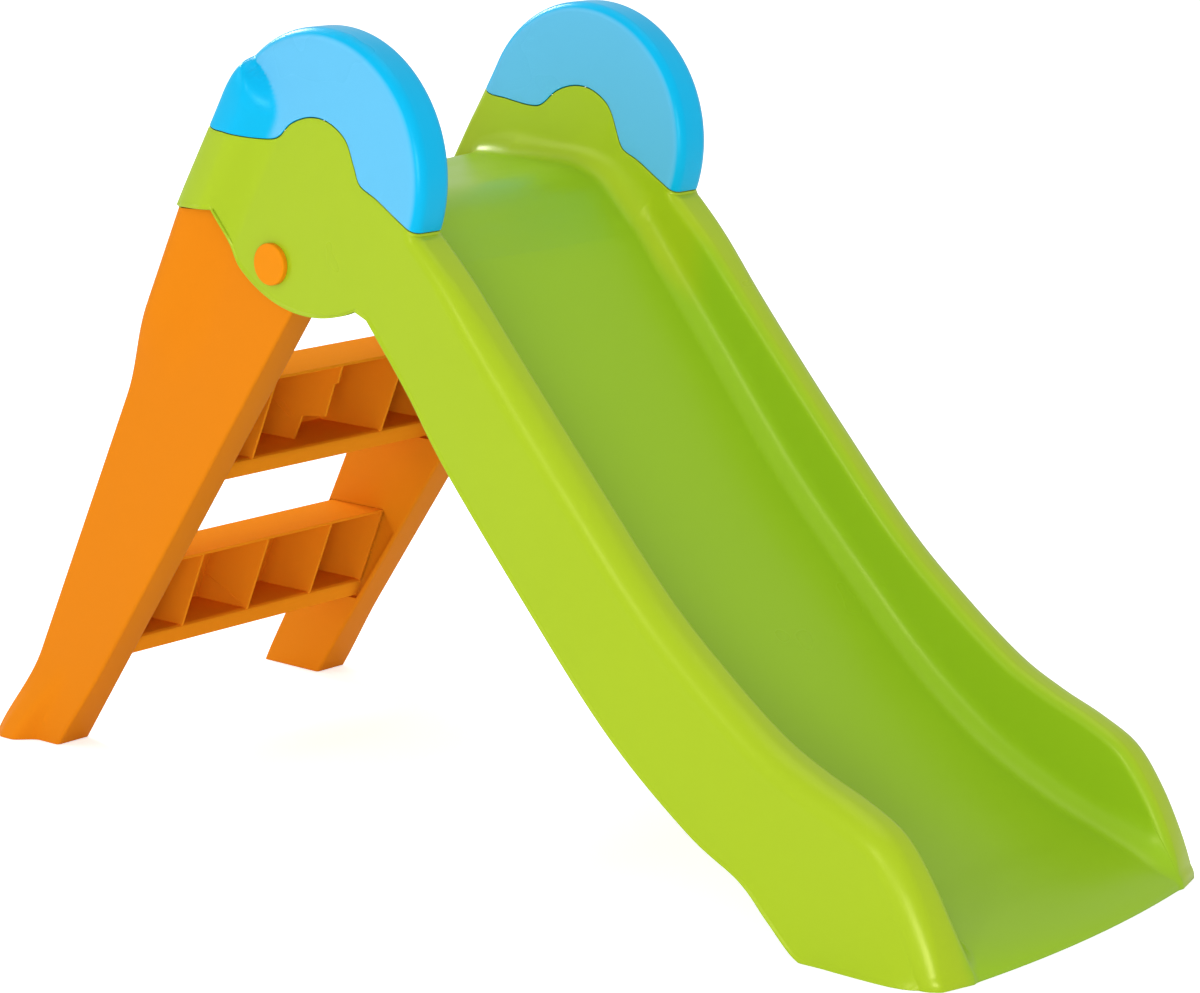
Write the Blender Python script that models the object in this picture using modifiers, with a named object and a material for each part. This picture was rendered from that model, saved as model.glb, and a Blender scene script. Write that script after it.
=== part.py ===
"""Folding toddler slide: a moulded chute with two tall ears, snap-on hand caps and a two-step ladder.

Metres, +Z up. The chute runs down towards +X, the ladder stands at -X, and Y = 0 is the plane of symmetry.
The origin is on the floor, under the middle of the open slide. The ladder turns on two pivot pins and
folds forward under the chute.
"""
import math

import bmesh
import bpy
from mathutils import Matrix, Vector

# Clearances
GAP = 0.0003
PIN_CLEAR = 0.0004
LEG_CLEAR = 0.0025

# Slide body across Y
HALF_WIDTH = 0.225
RAIL_WIDTH = 0.049
WALL = 0.0035
CROWN_R = 0.012
NOSE_CROWN_R = 0.010
RAIL_CROWN_R = 0.028
EAR_CROWN_R = 0.014
BED_FILLET = 0.025
BED_SAG = 0.005
SKIRT_FLARE = 0.0135
LIP_BOW = 0.0115
CORNER_R = 0.055

# Ear, seen from the side: a disc with a straight rear post
EAR_X = -0.156
EAR_Z = 0.678
EAR_R = 0.150
EAR_TOP_X = -0.148
EAR_TOP_Z = 0.677
EAR_TOP_R = 0.1430
EAR_FRONT_DEG = -22.0
EAR_REAR_DEG = 148.0
CUSP_DEG = -66.0
POST_DEG = -160.1
CONTOUR_DEG = -132.0
POST_FOOT_X = -0.3405
POST_CORNER_X = -0.281
POST_BULGE = 0.024
POST_WIDTH = 0.085
POST_CREST = 0.43
DOME_START = 0.150
DOME_LENGTH = 0.038

# Pivot
PIVOT_X = -0.210
PIVOT_Z = 0.577
PIN_R = 0.008
PIN_HEAD_R = 0.0216
PIN_HEAD_H = 0.0065
CLIP_R = 0.0145
CLIP_H = 0.008
CHEEK_R = 0.038
CHEEK_HALF = 0.068

# Platform between the ears
PLATFORM_Z = 0.648
PLATFORM_REAR_X = -0.300
APRON_DROP = 0.042

# Side profile from the front lip up to the notch under the hand cap. Each station pairs a point of the
# rail's top, one of the chute floor and one of the skirt's lower edge, as (x, z)
STATIONS = (
    ((0.6383, -0.004), (0.6393, -0.004), (0.634, -0.004)),
    ((0.6355, 0.0115), (0.6365, 0.008), (0.620, -0.004)),
    ((0.6200, 0.047), (0.6205, 0.020), (0.580, -0.004)),
    ((0.5945, 0.092), (0.5935, 0.032), (0.540, -0.004)),
    ((0.5640, 0.129), (0.5580, 0.043), (0.510, -0.004)),
    ((0.5230, 0.151), (0.5150, 0.056), (0.480, 0.002)),
    ((0.4735, 0.170), (0.4600, 0.079), (0.447, 0.031)),
    ((0.4225, 0.195), (0.4000, 0.111), (0.413, 0.0625)),
    ((0.3555, 0.243), (0.3220, 0.169), (0.350, 0.0965)),
    ((0.2810, 0.306), (0.2400, 0.248), (0.250, 0.173)),
    ((0.1865, 0.407), (0.1440, 0.346), (0.140, 0.283)),
    ((0.0860, 0.518), (0.0420, 0.470), (0.033, 0.397)),
    ((0.0310, 0.580), (-0.0100, 0.533), (-0.022, 0.468)),
    ((-0.0100, 0.620), (-0.0500, 0.583), (-0.078, 0.534)),
)
CREST = ((-0.050, 0.583), (-0.078, 0.610), (-0.105, 0.633), (-0.140, 0.6455), (-0.190, 0.648), (-0.240, 0.648))
ROWS_PER_STATION = 2
ARC_ROWS = 17
POST_ROWS = 8
WALL_COLUMNS = 6

# Wavy seam of a hand cap on the side of the ear, from the front to the rear
SEAM = (
    (0.030, 0.6240), (-0.009, 0.6245), (-0.030, 0.6355), (-0.063, 0.6560), (-0.086, 0.6680),
    (-0.0945, 0.6870), (-0.1060, 0.7120), (-0.1300, 0.7275), (-0.1560, 0.7300), (-0.1820, 0.7215),
    (-0.2000, 0.7065), (-0.2200, 0.7040), (-0.2550, 0.7090), (-0.2800, 0.7130), (-0.3050, 0.7300),
    (-0.3700, 0.7700),
)
SEAM_SAMPLES = 4
TONGUE_W = 0.030
TONGUE_T = 0.0022
TONGUE_DROP = 0.010
TONGUE_ROOT = 0.012
OUTER_TONGUES = (-0.156, -0.062)
INNER_TONGUES = (-0.238, -0.156)

# Cross ribs under the chute floor, by station
RIB_T = 0.003
RIB_DEPTH = 0.016
RIB_STATIONS = (4, 7, 8, 9, 10, 11, 12)

# Ladder leg, seen from the side: front edge straight from a round end at the pivot, rear edge straight
LEG_END_R = 0.0445
LEG_REAR_X = -0.3368
LEG_FRONT_LEAN = 0.70
LEG_REAR_LEAN = 0.490
LEG_HEEL_X = -0.650
LEG_BULGE = 0.0225
LEG_BULGE_W = 0.095
LEG_BULGE_R = 0.014
LEG_BULGE_END = 0.215
LEG_EDGE_R = 0.004
FOOT_FLARE = 0.021
FOOT_FLARE_H = 0.105
LEG_LEVELS = 20
LEG_COLUMNS = 4

# Steps: trays open towards the slide, with a tread, a riser, a floor and a front lip
STEP_WALL = 0.003
STEP_LEAN = 0.47
STEP_END_R = 0.004
LIP_DROP = 0.020
RIB_PITCH = 0.100
STEP_RIBS = (-1, 0, 1)
UPPER_TREAD = (-0.331, 0.428, 0.098)
LOWER_TREAD = (-0.450, 0.2155, 0.084)
UPPER_HEIGHT = 0.095
LOWER_HEIGHT = 0.090
PEG_W = 0.030
PEG_H = 0.010
PEG_LENGTH = 0.012
PEG_INSET = 0.012

# Derived sizes
Y_OUT = HALF_WIDTH
Y_IN = HALF_WIDTH - RAIL_WIDTH
LEG_OUT = Y_OUT - WALL - LEG_CLEAR
LEG_IN = Y_IN + WALL + 0.3 * LEG_CLEAR
POST_FOOT_Z = EAR_Z + EAR_R * math.sin(math.radians(POST_DEG))
LEG_TOP = POST_FOOT_Z - 0.5 * WALL - GAP
STEP_HALF = LEG_IN - GAP
CORNER = (0.0, math.radians(45), math.radians(90))

GREEN = (0.42, 0.60, 0.030, 1.0)
BLUE = (0.05, 0.45, 0.85, 1.0)
ORANGE = (0.86, 0.27, 0.010, 1.0)


def clear_scene():
    for thing in list(bpy.data.objects):
        bpy.data.objects.remove(thing, do_unlink=True)


def make_collection(name):
    group = bpy.data.collections.new(name)
    bpy.context.scene.collection.children.link(group)
    return group


def make_material(name, colour, roughness):
    material = bpy.data.materials.new(name)
    material.use_nodes = True
    shader = material.node_tree.nodes["Principled BSDF"]
    shader.inputs["Base Color"].default_value = colour
    shader.inputs["Roughness"].default_value = roughness
    return material


def make_object(name, mesh, group, material=None):
    thing = bpy.data.objects.new(name, mesh)
    group.objects.link(thing)
    if material:
        mesh.materials.append(material)
    return thing


def as_tool(thing):
    thing.hide_render = True
    thing.display_type = "WIRE"
    return thing


def spline(keys, per):
    """Catmull-Rom curve through the keys, with `per` samples to a span and both ends kept."""
    keys = [Vector(k) for k in keys]
    padded = [keys[0] * 2 - keys[1]] + keys + [keys[-1] * 2 - keys[-2]]
    points = []
    for i in range(len(keys) - 1):
        a, b, c, d = padded[i:i + 4]
        for step in range(per):
            t = step / per
            points.append(0.5 * (2 * b + (c - a) * t + (2 * a - 5 * b + 4 * c - d) * t * t
                                 + (3 * b - a - 3 * c + d) * t ** 3))
    return points + [keys[-1]]


def resample(points, count):
    """`count` points spread evenly by length along a polyline."""
    lengths = [0.0]
    for a, b in zip(points, points[1:]):
        lengths.append(lengths[-1] + (b - a).length)
    out, i = [], 0
    for step in range(count):
        want = lengths[-1] * step / (count - 1)
        while i < len(points) - 2 and lengths[i + 1] < want:
            i += 1
        share = (want - lengths[i]) / max(lengths[i + 1] - lengths[i], 1e-9)
        out.append(points[i].lerp(points[i + 1], min(share, 1.0)))
    return out


def left_normals(points):
    """Unit normals on the left of a polyline in the XZ plane."""
    out = []
    for i in range(len(points)):
        run = points[min(i + 1, len(points) - 1)] - points[max(i - 1, 0)]
        out.append(Vector((run.y, -run.x)).normalized())
    return out


def smooth(t):
    t = min(max(t, 0.0), 1.0)
    return t * t * (3 - 2 * t)


def on_ear(degrees, radius=EAR_R):
    angle = math.radians(degrees)
    return Vector((EAR_X + radius * math.cos(angle), EAR_Z + radius * math.sin(angle)))


def on_top(degrees):
    """A point of the rim over an ear."""
    angle = math.radians(degrees)
    return Vector((EAR_TOP_X + EAR_TOP_R * math.cos(angle), EAR_TOP_Z + EAR_TOP_R * math.sin(angle)))


def rear_line():
    """Foot of the post's straight rear edge, and its unit direction upwards."""
    foot = Vector((POST_FOOT_X, POST_FOOT_Z))
    return foot, (on_top(EAR_REAR_DEG) - foot).normalized()


def bulge_at(x, z):
    """Outward swell of the rounded post, at a place on the side of the ear; it ends upwards in a dome."""
    foot, up = rear_line()
    away = Vector((x, z)) - foot
    end = min(max((away.dot(up) - DOME_START) / DOME_LENGTH, 0.0), 1.0)
    dome = math.sqrt(1 - end * end)
    inward = away.dot(Vector((up.y, -up.x))) / max(POST_WIDTH * dome, 1e-6)
    if not 0.0 < inward < 1.0:
        return 0.0
    if inward < POST_CREST:
        return POST_BULGE * dome ** 0.6 * (1 - (1 - inward / POST_CREST) ** 2) ** 0.3
    return POST_BULGE * dome ** 0.6 * (1 - smooth((inward - POST_CREST) / (1 - POST_CREST)))


def low_contour(count):
    """Lower edge of an ear, from the cusp round the disc and up to the front corner of the post's foot."""
    line = [on_ear(CUSP_DEG + (CONTOUR_DEG - CUSP_DEG) * i / 30) for i in range(31)]
    start, end = line[-1], Vector((POST_CORNER_X, POST_FOOT_Z))
    reach = (end - start).length
    turn = math.radians(CONTOUR_DEG)
    leave = Vector((math.sin(turn), -math.cos(turn))) * 0.8 * reach
    arrive = Vector((-0.25, 0.97)) * 0.8 * reach
    for i in range(1, 13):
        t = i / 12
        line.append(start * (2 * t ** 3 - 3 * t * t + 1) + leave * (t ** 3 - 2 * t * t + t)
                    + end * (3 * t * t - 2 * t ** 3) + arrive * (t ** 3 - t * t))
    return resample(line, count)


def section_rows():
    """Every section: rail top and its normal, floor and its normal, skirt edge, three radii, nose share."""
    keys = [(*top, *bed, *low) for top, bed, low in STATIONS]
    keys = [Vector(k) for k in keys]
    rows = []
    points = spline(keys, ROWS_PER_STATION)
    tops = [Vector(p[0:2]) for p in points]
    beds = [Vector(p[2:4]) for p in points]
    for i, (top_n, bed_n) in enumerate(zip(left_normals(tops), left_normals(beds))):
        low = Vector(points[i][4:6])
        nose = 1 - smooth(i / (5.0 * ROWS_PER_STATION))
        outer = RAIL_CROWN_R + (EAR_CROWN_R - RAIL_CROWN_R) * smooth((i / ROWS_PER_STATION - 10) / 3)
        outer += (NOSE_CROWN_R - outer) * nose
        rows.append((tops[i], top_n, beds[i], bed_n, low, BED_FILLET, CROWN_R, outer, nose))
    rear = [on_top(EAR_FRONT_DEG + (EAR_REAR_DEG - EAR_FRONT_DEG) * i / ARC_ROWS) for i in range(ARC_ROWS + 1)]
    crest = resample(spline(CREST, 6), ARC_ROWS + 2)[1:]
    crest_n = left_normals(crest)
    centre = Vector((EAR_TOP_X, EAR_TOP_Z))
    lows = low_contour(ARC_ROWS + 1)
    for i in range(ARC_ROWS + 1):
        rows.append((rear[i], (rear[i] - centre).normalized(), crest[i], crest_n[i], lows[i],
                     BED_FILLET, CROWN_R, EAR_CROWN_R, 0.0))
    return rows + post_rows(crest[-1], lows[-1])


def post_rows(platform, low):
    """Sections down the rear post; the platform rolls over into its rear apron."""
    foot, up = rear_line()
    back = Vector((-up.y, up.x))
    edge = Vector((PLATFORM_REAR_X, PLATFORM_Z))
    drop = APRON_DROP
    apron = spline((platform, edge + Vector((0.014, 0)), edge + Vector((0, -0.25 * drop)),
                    edge + Vector((-0.005, -0.6 * drop)), edge + Vector((-0.006, -drop))), 6)
    beds = resample(apron, POST_ROWS + 1)[1:]
    bed_n = left_normals([platform] + beds)[1:]
    start = on_top(EAR_REAR_DEG)
    low_end = foot + Vector((1.15 * CROWN_R, 0))
    rows = []
    for i in range(1, POST_ROWS + 1):
        share = i / POST_ROWS
        normal = back.lerp(Vector((-1, 0)), smooth(2 * share - 1)).normalized()
        fillet = BED_FILLET * (1 - 0.76 * smooth(share))
        crown = CROWN_R * (1 - 0.5 * smooth(share))
        outer = EAR_CROWN_R + (0.5 * CROWN_R - EAR_CROWN_R) * smooth(share)
        rows.append((start.lerp(foot, share), normal, beds[i - 1], bed_n[i - 1],
                     low.lerp(low_end, share), fillet, crown, outer, 0.0))
    return rows


def section_points(row, with_bed=True):
    """Points of one half section, from the middle of the floor over the rail to the skirt's edge."""
    top, top_n, bed, bed_n, low, fillet, crown, outer, nose = row
    height = max((top - bed).dot((top_n + bed_n).normalized()), 0.0015)
    turn = math.acos(max(1 - height / (fillet + crown), 0.0))
    out = []

    def add(place, y):
        corner = min(max(y - (Y_OUT + SKIRT_FLARE - CORNER_R), 0.0), CORNER_R)
        bow = LIP_BOW * (1 - (y / Y_IN) ** 2) if y < Y_IN else 0.0
        back = CORNER_R - math.sqrt(max(CORNER_R ** 2 - corner ** 2, 0.0))
        swell = smooth((y - Y_OUT + outer) / outer) * bulge_at(place.x, place.y) if y > Y_OUT - outer else 0.0
        out.append(Vector((place.x + nose * (bow - back), y + swell, place.y)))

    if with_bed:
        edge = Y_IN - fillet * math.sin(turn)
        for share in (0.0, 0.3, 0.58, 0.82):
            add(bed - bed_n * BED_SAG * (1 - nose) * (1 - share ** 2), edge * share)
        for step in range(5):
            a = turn * step / 4.5
            add(bed + bed_n * fillet * (1 - math.cos(a)), edge + fillet * math.sin(a))
    foot = bed + bed_n * fillet * (1 - math.cos(turn))
    head = top - top_n * crown * (1 - math.cos(turn))
    if not with_bed:
        add(foot, Y_IN)
    add(foot.lerp(head, 0.5), Y_IN)
    for step in range(4):
        a = turn * (1 - (step + 0.5) / 3.5)
        add(top - top_n * crown * (1 - math.cos(a)), Y_IN + crown * (math.sin(turn) - math.sin(a)))
    for step in range(4):
        a = math.radians(30 * step)
        add(top - top_n * outer * (1 - math.cos(a)), Y_OUT - outer * (1 - math.sin(a)))
    flare = SKIRT_FLARE * smooth((low.x - on_ear(CUSP_DEG).x) / 0.4)
    side = top - top_n * outer
    for step in range(1, WALL_COLUMNS + 1):
        share = step / WALL_COLUMNS
        add(side.lerp(low, share), Y_OUT + flare * share)
    return out


def grid_mesh(name, rows):
    """Quad sheet through rows of points, which faces out of the moulding."""
    mesh = bpy.data.meshes.new(name)
    sheet = bmesh.new()
    verts = [[sheet.verts.new(p) for p in row] for row in rows]
    for a, b in zip(verts, verts[1:]):
        for i in range(len(a) - 1):
            sheet.faces.new((a[i], a[i + 1], b[i + 1], b[i]))
    sheet.to_mesh(mesh)
    sheet.free()
    mesh.shade_smooth()
    return mesh


def add_mirror(thing):
    mirror = thing.modifiers.new("Both sides", "MIRROR")
    mirror.use_axis = (False, True, False)
    mirror.merge_threshold = 0.0001


def add_wall(thing, thickness):
    wall = thing.modifiers.new("Wall", "SOLIDIFY")
    wall.thickness = thickness
    wall.offset = -1
    wall.use_even_offset = True


def add_boolean(thing, tools, operation):
    """One exact Boolean with all the given tools together."""
    group = make_collection(f"{thing.name} {operation.lower()}")
    for tool in tools:
        group.objects.link(as_tool(tool))
    step = thing.modifiers.new(operation.title(), "BOOLEAN")
    step.operation = operation
    step.solver = "EXACT"
    step.operand_type = "COLLECTION"
    step.collection = group


def plate(name, outline, y_low, y_high, group):
    """A flat outline in the XZ plane, given as (x, z) points, as thick as from y_low to y_high."""
    curve = bpy.data.curves.new(name, "CURVE")
    curve.dimensions = "2D"
    curve.fill_mode = "BOTH"
    curve.extrude = (y_high - y_low) / 2
    line = curve.splines.new("POLY")
    line.points.add(len(outline) - 1)
    for point, (x, z) in zip(line.points, outline):
        point.co = (x, z, 0, 1)
    line.use_cyclic_u = True
    shape = bpy.data.objects.new(name, curve)
    group.objects.link(shape)
    shape.matrix_world = (Matrix.Translation((0, (y_low + y_high) / 2, 0))
                          @ Matrix.Rotation(math.radians(90), 4, "X"))
    bpy.context.view_layer.update()
    mesh = bpy.data.meshes.new_from_object(shape.evaluated_get(bpy.context.evaluated_depsgraph_get()))
    mesh.transform(shape.matrix_world)
    bpy.data.objects.remove(shape, do_unlink=True)
    solid = bmesh.new()
    solid.from_mesh(mesh)
    bmesh.ops.remove_doubles(solid, verts=solid.verts, dist=0.00001)
    bmesh.ops.dissolve_limit(solid, angle_limit=math.radians(0.5), verts=solid.verts, edges=solid.edges)
    bmesh.ops.recalc_face_normals(solid, faces=solid.faces)
    solid.to_mesh(mesh)
    solid.free()
    return make_object(name, mesh, group)


def block(name, low, high, group):
    """A box between two opposite corners."""
    mesh = bpy.data.meshes.new(name)
    solid = bmesh.new()
    low, high = Vector(low), Vector(high)
    size = Matrix.Diagonal((*(high - low), 1))
    bmesh.ops.create_cube(solid, size=1, matrix=Matrix.Translation((low + high) / 2) @ size)
    solid.to_mesh(mesh)
    solid.free()
    return make_object(name, mesh, group)


def rod(name, x, z, radius, y_low, y_high, group, sides=40):
    """A round bar along Y."""
    mesh = bpy.data.meshes.new(name)
    solid = bmesh.new()
    place = Matrix.Translation((x, (y_low + y_high) / 2, z)) @ Matrix.Rotation(math.radians(90), 4, "X")
    bmesh.ops.create_cone(solid, cap_ends=True, segments=sides, radius1=radius, radius2=radius,
                          depth=y_high - y_low, matrix=place)
    solid.to_mesh(mesh)
    solid.free()
    return make_object(name, mesh, group)


def arc(x, z, radius, start, end, steps):
    """Points on an arc between two angles in degrees."""
    turns = [math.radians(start + (end - start) * i / steps) for i in range(steps + 1)]
    return [(x + radius * math.cos(t), z + radius * math.sin(t)) for t in turns]


def seam_outline(shift):
    """Region of the ear above the wavy seam, with the seam moved along its normal by `shift`."""
    line = spline(SEAM, SEAM_SAMPLES)
    seam = [p + n * shift for p, n in zip(line, left_normals(line))]
    high = EAR_Z + EAR_R + 0.05
    return [(p.x, p.y) for p in seam] + [(seam[-1].x, high), (seam[0].x, high)]


def seam_height(x):
    line = spline(SEAM, SEAM_SAMPLES)
    for a, b in zip(line, line[1:]):
        if b.x <= x <= a.x:
            return a.y + (b.y - a.y) * (a.x - x) / (a.x - b.x)
    return line[0].y


def flip_side(thing):
    """Turn a left piece into its mirror image on the right."""
    thing.data.transform(Matrix.Diagonal((1, -1, 1, 1)))
    thing.data.flip_normals()


def build_slide(group, tools, material):
    """The one-piece moulding: chute, rails, skirts, ears and posts, with cheeks and ribs underneath."""
    rows = [section_points(row) for row in section_rows()]
    body = make_object("slide_body", grid_mesh("slide_body", rows), group, material)
    add_mirror(body)
    add_wall(body, WALL)
    stiffeners = [cheek(side, tools) for side in (1, -1)]
    stiffeners += [floor_rib(index, tools) for index in RIB_STATIONS]
    add_boolean(body, stiffeners, "UNION")
    cutters = []
    for side in (1, -1):
        low, high = sorted((side * (Y_IN - RAIL_WIDTH / 2), side * (Y_OUT + RAIL_WIDTH)))
        cutters.append(plate(f"cap_room_{side}", seam_outline(-GAP / 2), low, high, tools))
    cutters.append(rod("pin_bores", PIVOT_X, PIVOT_Z, PIN_R + GAP, -Y_OUT - 0.02, Y_OUT + 0.02, tools))
    cutters.append(block("floor_trim", (-1, -1, -0.1), (1, 1, 0), tools))
    add_boolean(body, cutters, "DIFFERENCE")
    return body


def cheek(side, tools):
    """Inner wall of a pivot: it hangs from the platform and carries the pin's inner end."""
    top = PLATFORM_Z + 0.7 * BED_FILLET
    outline = [(PIVOT_X - CHEEK_HALF, top)] + arc(PIVOT_X, PIVOT_Z, CHEEK_R, 200, 340, 14)
    outline += [(PIVOT_X + CHEEK_HALF, top)]
    low, high = sorted((side * (Y_IN - GAP), side * (Y_IN + WALL - GAP)))
    return plate(f"cheek_{side}", outline, low, high, tools)


def floor_rib(index, tools):
    """Cross rib square to the chute floor."""
    beds = [Vector(station[1]) for station in STATIONS]
    here = beds[index]
    run = (beds[index + 1] - beds[index - 1]).normalized()
    down = Vector((-run.y, run.x))
    if down.y > 0:
        down = -down
    corners = [here + run * RIB_T / 2 + down * 0.5 * WALL, here - run * RIB_T / 2 + down * 0.5 * WALL]
    depth = RIB_DEPTH + BED_SAG
    corners += [corners[1] + down * depth, corners[0] + down * depth]
    reach = Y_IN - 0.3 * BED_FILLET
    start = -down * 0.0 + down * BED_SAG
    outline = [tuple(c + start) if i < 2 else tuple(c) for i, c in enumerate(corners)]
    return plate(f"floor_rib_{index}", outline, -reach, reach, tools)


def tongue_places():
    """Each snap tongue's x, its y range, and the y of the wall face it roots in."""
    inner_face, outer_face = Y_IN + WALL, Y_OUT - WALL
    spots = [(x, inner_face + GAP, inner_face + GAP + TONGUE_T, inner_face - WALL / 2) for x in INNER_TONGUES]
    spots += [(x, outer_face - GAP - TONGUE_T, outer_face - GAP, outer_face + WALL / 2) for x in OUTER_TONGUES]
    return spots


def build_tongue(name, spot, tools):
    """One tongue with the shoulder that roots it, and the room it needs below the seam."""
    x, low, high, root = spot
    half = TONGUE_W / 2
    levels = [seam_height(x + share * half) for share in (-1, -0.5, 0, 0.5, 1)]
    foot, seam = min(levels) - TONGUE_DROP, max(levels)
    tongue = block(name, (x - half, low, foot), (x + half, high, seam + TONGUE_ROOT), tools)
    shoulder = block(name + "_root", (x - half + 0.002, min(low + 0.001, root), seam + 0.002),
                     (x + half - 0.002, max(high - 0.001, root), seam + TONGUE_ROOT - 0.002), tools)
    room = block(name + "_room", (x - half - GAP, low - GAP / 2, foot - GAP),
                 (x + half + GAP, high + GAP / 2, seam + 0.001), tools)
    return tongue, shoulder, room


def build_cap(side, group, tools, material):
    """Hand cap: the top of an ear above the wavy seam, with tongues that snap inside the ear."""
    name = "hand_cap_left" if side > 0 else "hand_cap_right"
    rows = section_rows()[-(ARC_ROWS + POST_ROWS + 4):]
    mesh = grid_mesh(name, [section_points(row, with_bed=False) for row in rows])
    cap = make_object(name, mesh, group, material)
    add_wall(cap, WALL)
    keep = plate(name + "_keep", seam_outline(GAP / 2), Y_IN - RAIL_WIDTH / 2, Y_OUT + RAIL_WIDTH, tools)
    sets = [build_tongue(f"{name}_tongue_{i}", spot, tools) for i, spot in enumerate(tongue_places())]
    tongues, shoulders, rooms = (list(kind) for kind in zip(*sets))
    add_boolean(cap, tongues + shoulders, "UNION")
    add_boolean(keep, rooms, "UNION")
    add_boolean(cap, [keep], "INTERSECT")
    if side < 0:
        for thing in [cap, keep] + tongues + shoulders + rooms:
            flip_side(thing)
    return cap


def turned(name, profile, group, material, side, y_start):
    """Solid of revolution about the pivot axis; the profile is (radius, height outwards from y_start)."""
    mesh = bpy.data.meshes.new(name)
    line = bmesh.new()
    verts = [line.verts.new((r, 0, h)) for r, h in profile]
    for a, b in zip(verts, verts[1:]):
        line.edges.new((a, b))
    line.to_mesh(mesh)
    line.free()
    thing = make_object(name, mesh, group, material)
    screw = thing.modifiers.new("Turn", "SCREW")
    screw.axis = "Z"
    screw.steps = 24
    screw.render_steps = 24
    screw.use_merge_vertices = True
    screw.merge_threshold = 0.00001
    thing.rotation_euler = (math.radians(-90 * side), 0, 0)
    thing.location = (PIVOT_X, side * y_start, PIVOT_Z)
    mesh.shade_smooth()
    return thing


def build_pin(side, group, material):
    """Pivot pin: a low dome on the ear's outer face, a round shank and a grooved, chamfered tip."""
    tip = Y_IN - GAP - CLIP_H + 0.002 - Y_OUT
    dome = [(PIN_HEAD_R * math.sin(math.radians(a)),
             GAP + 0.0015 + (PIN_HEAD_H - 0.0015) * math.cos(math.radians(a))) for a in range(0, 91, 15)]
    dome[0] = (0.0, dome[0][1])
    profile = dome + [(PIN_HEAD_R, GAP), (PIN_R, GAP), (PIN_R, tip + 0.0015), (PIN_R - 0.0015, tip), (0.0, tip)]
    name = "pivot_pin_left" if side > 0 else "pivot_pin_right"
    return turned(name, profile, group, material, side, Y_OUT)


def build_clip(side, group, material):
    """Push-on cap that keeps the pin in: a blind cup on the pin's inner end, against the cheek."""
    face = -2 * GAP
    bore = PIN_R + GAP
    end = face - CLIP_H
    profile = [(0.0, end + 0.0015), (bore, end + 0.0015), (bore, face), (CLIP_R, face)]
    profile += [(CLIP_R, end + 0.002), (CLIP_R - 0.002, end), (0.0, end)]
    name = "pivot_clip_left" if side > 0 else "pivot_clip_right"
    return turned(name, profile, group, material, side, Y_IN)


def leg_front(z):
    """Front edge of a leg at height z; round about the pivot above its tangent point."""
    slope = math.sqrt(1 + LEG_FRONT_LEAN ** 2)
    tangent = PIVOT_Z - LEG_END_R * LEG_FRONT_LEAN / slope
    if z <= tangent:
        return PIVOT_X + LEG_END_R * slope + LEG_FRONT_LEAN * (z - PIVOT_Z)
    rise = (z - PIVOT_Z) / (LEG_TOP - PIVOT_Z if z > PIVOT_Z else LEG_END_R)
    return PIVOT_X + LEG_END_R * math.sqrt(max(1 - rise * rise, 0.0))


def leg_rear(z):
    """Rear edge: straight from the post's foot down to a short kicked-out heel."""
    straight = LEG_REAR_X - LEG_REAR_LEAN * (POST_FOOT_Z - z)
    heel = LEG_HEEL_X - (LEG_REAR_X - LEG_REAR_LEAN * POST_FOOT_Z)
    return straight + heel * (1 - smooth(z / FOOT_FLARE_H)) ** 1.2


def leg_section(z):
    """A leg's rounded section at height z: inner side from front to rear, then along the outer face."""
    rear, front = leg_rear(z), leg_front(z)
    width = front - rear
    flare = FOOT_FLARE * (1 - smooth(z / FOOT_FLARE_H)) ** 1.2
    fade = 1 - smooth(2 * (LEG_TOP - z) / LEG_BULGE_END - 1)
    r = min(LEG_EDGE_R, 0.2 * width)
    edge = min(LEG_EDGE_R + (LEG_BULGE_R - LEG_EDGE_R) * fade, 0.25 * width)
    reach = min(LEG_BULGE_W, width - r)
    points = [Vector((front - r * (1 - math.cos(t)), LEG_IN + r * (1 - math.sin(t)), z)) for t in CORNER]
    points += [Vector((rear + r * (1 - math.sin(t)), LEG_IN + r * (1 - math.cos(t)), z)) for t in CORNER]
    spots = [edge * (1 - math.cos(math.radians(30 * step))) for step in range(3)]
    spots += [edge + (reach - edge) * step / LEG_COLUMNS for step in range(LEG_COLUMNS + 1)]
    for inward in spots:
        swell = LEG_BULGE * fade * (1 - smooth((inward - edge) / (LEG_BULGE_W - edge)))
        round_off = edge - math.sqrt(max(edge ** 2 - max(edge - inward, 0.0) ** 2, 0.0))
        out = flare * max(0.0, 1 - inward / width) ** 0.5
        points.append(Vector((rear + inward, LEG_OUT + swell + out - round_off, z)))
    low = LEG_OUT + 0.2 * flare - r
    points += [Vector((front - r * (1 - math.sin(t)), low + r * math.cos(t), z)) for t in CORNER]
    return points


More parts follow.
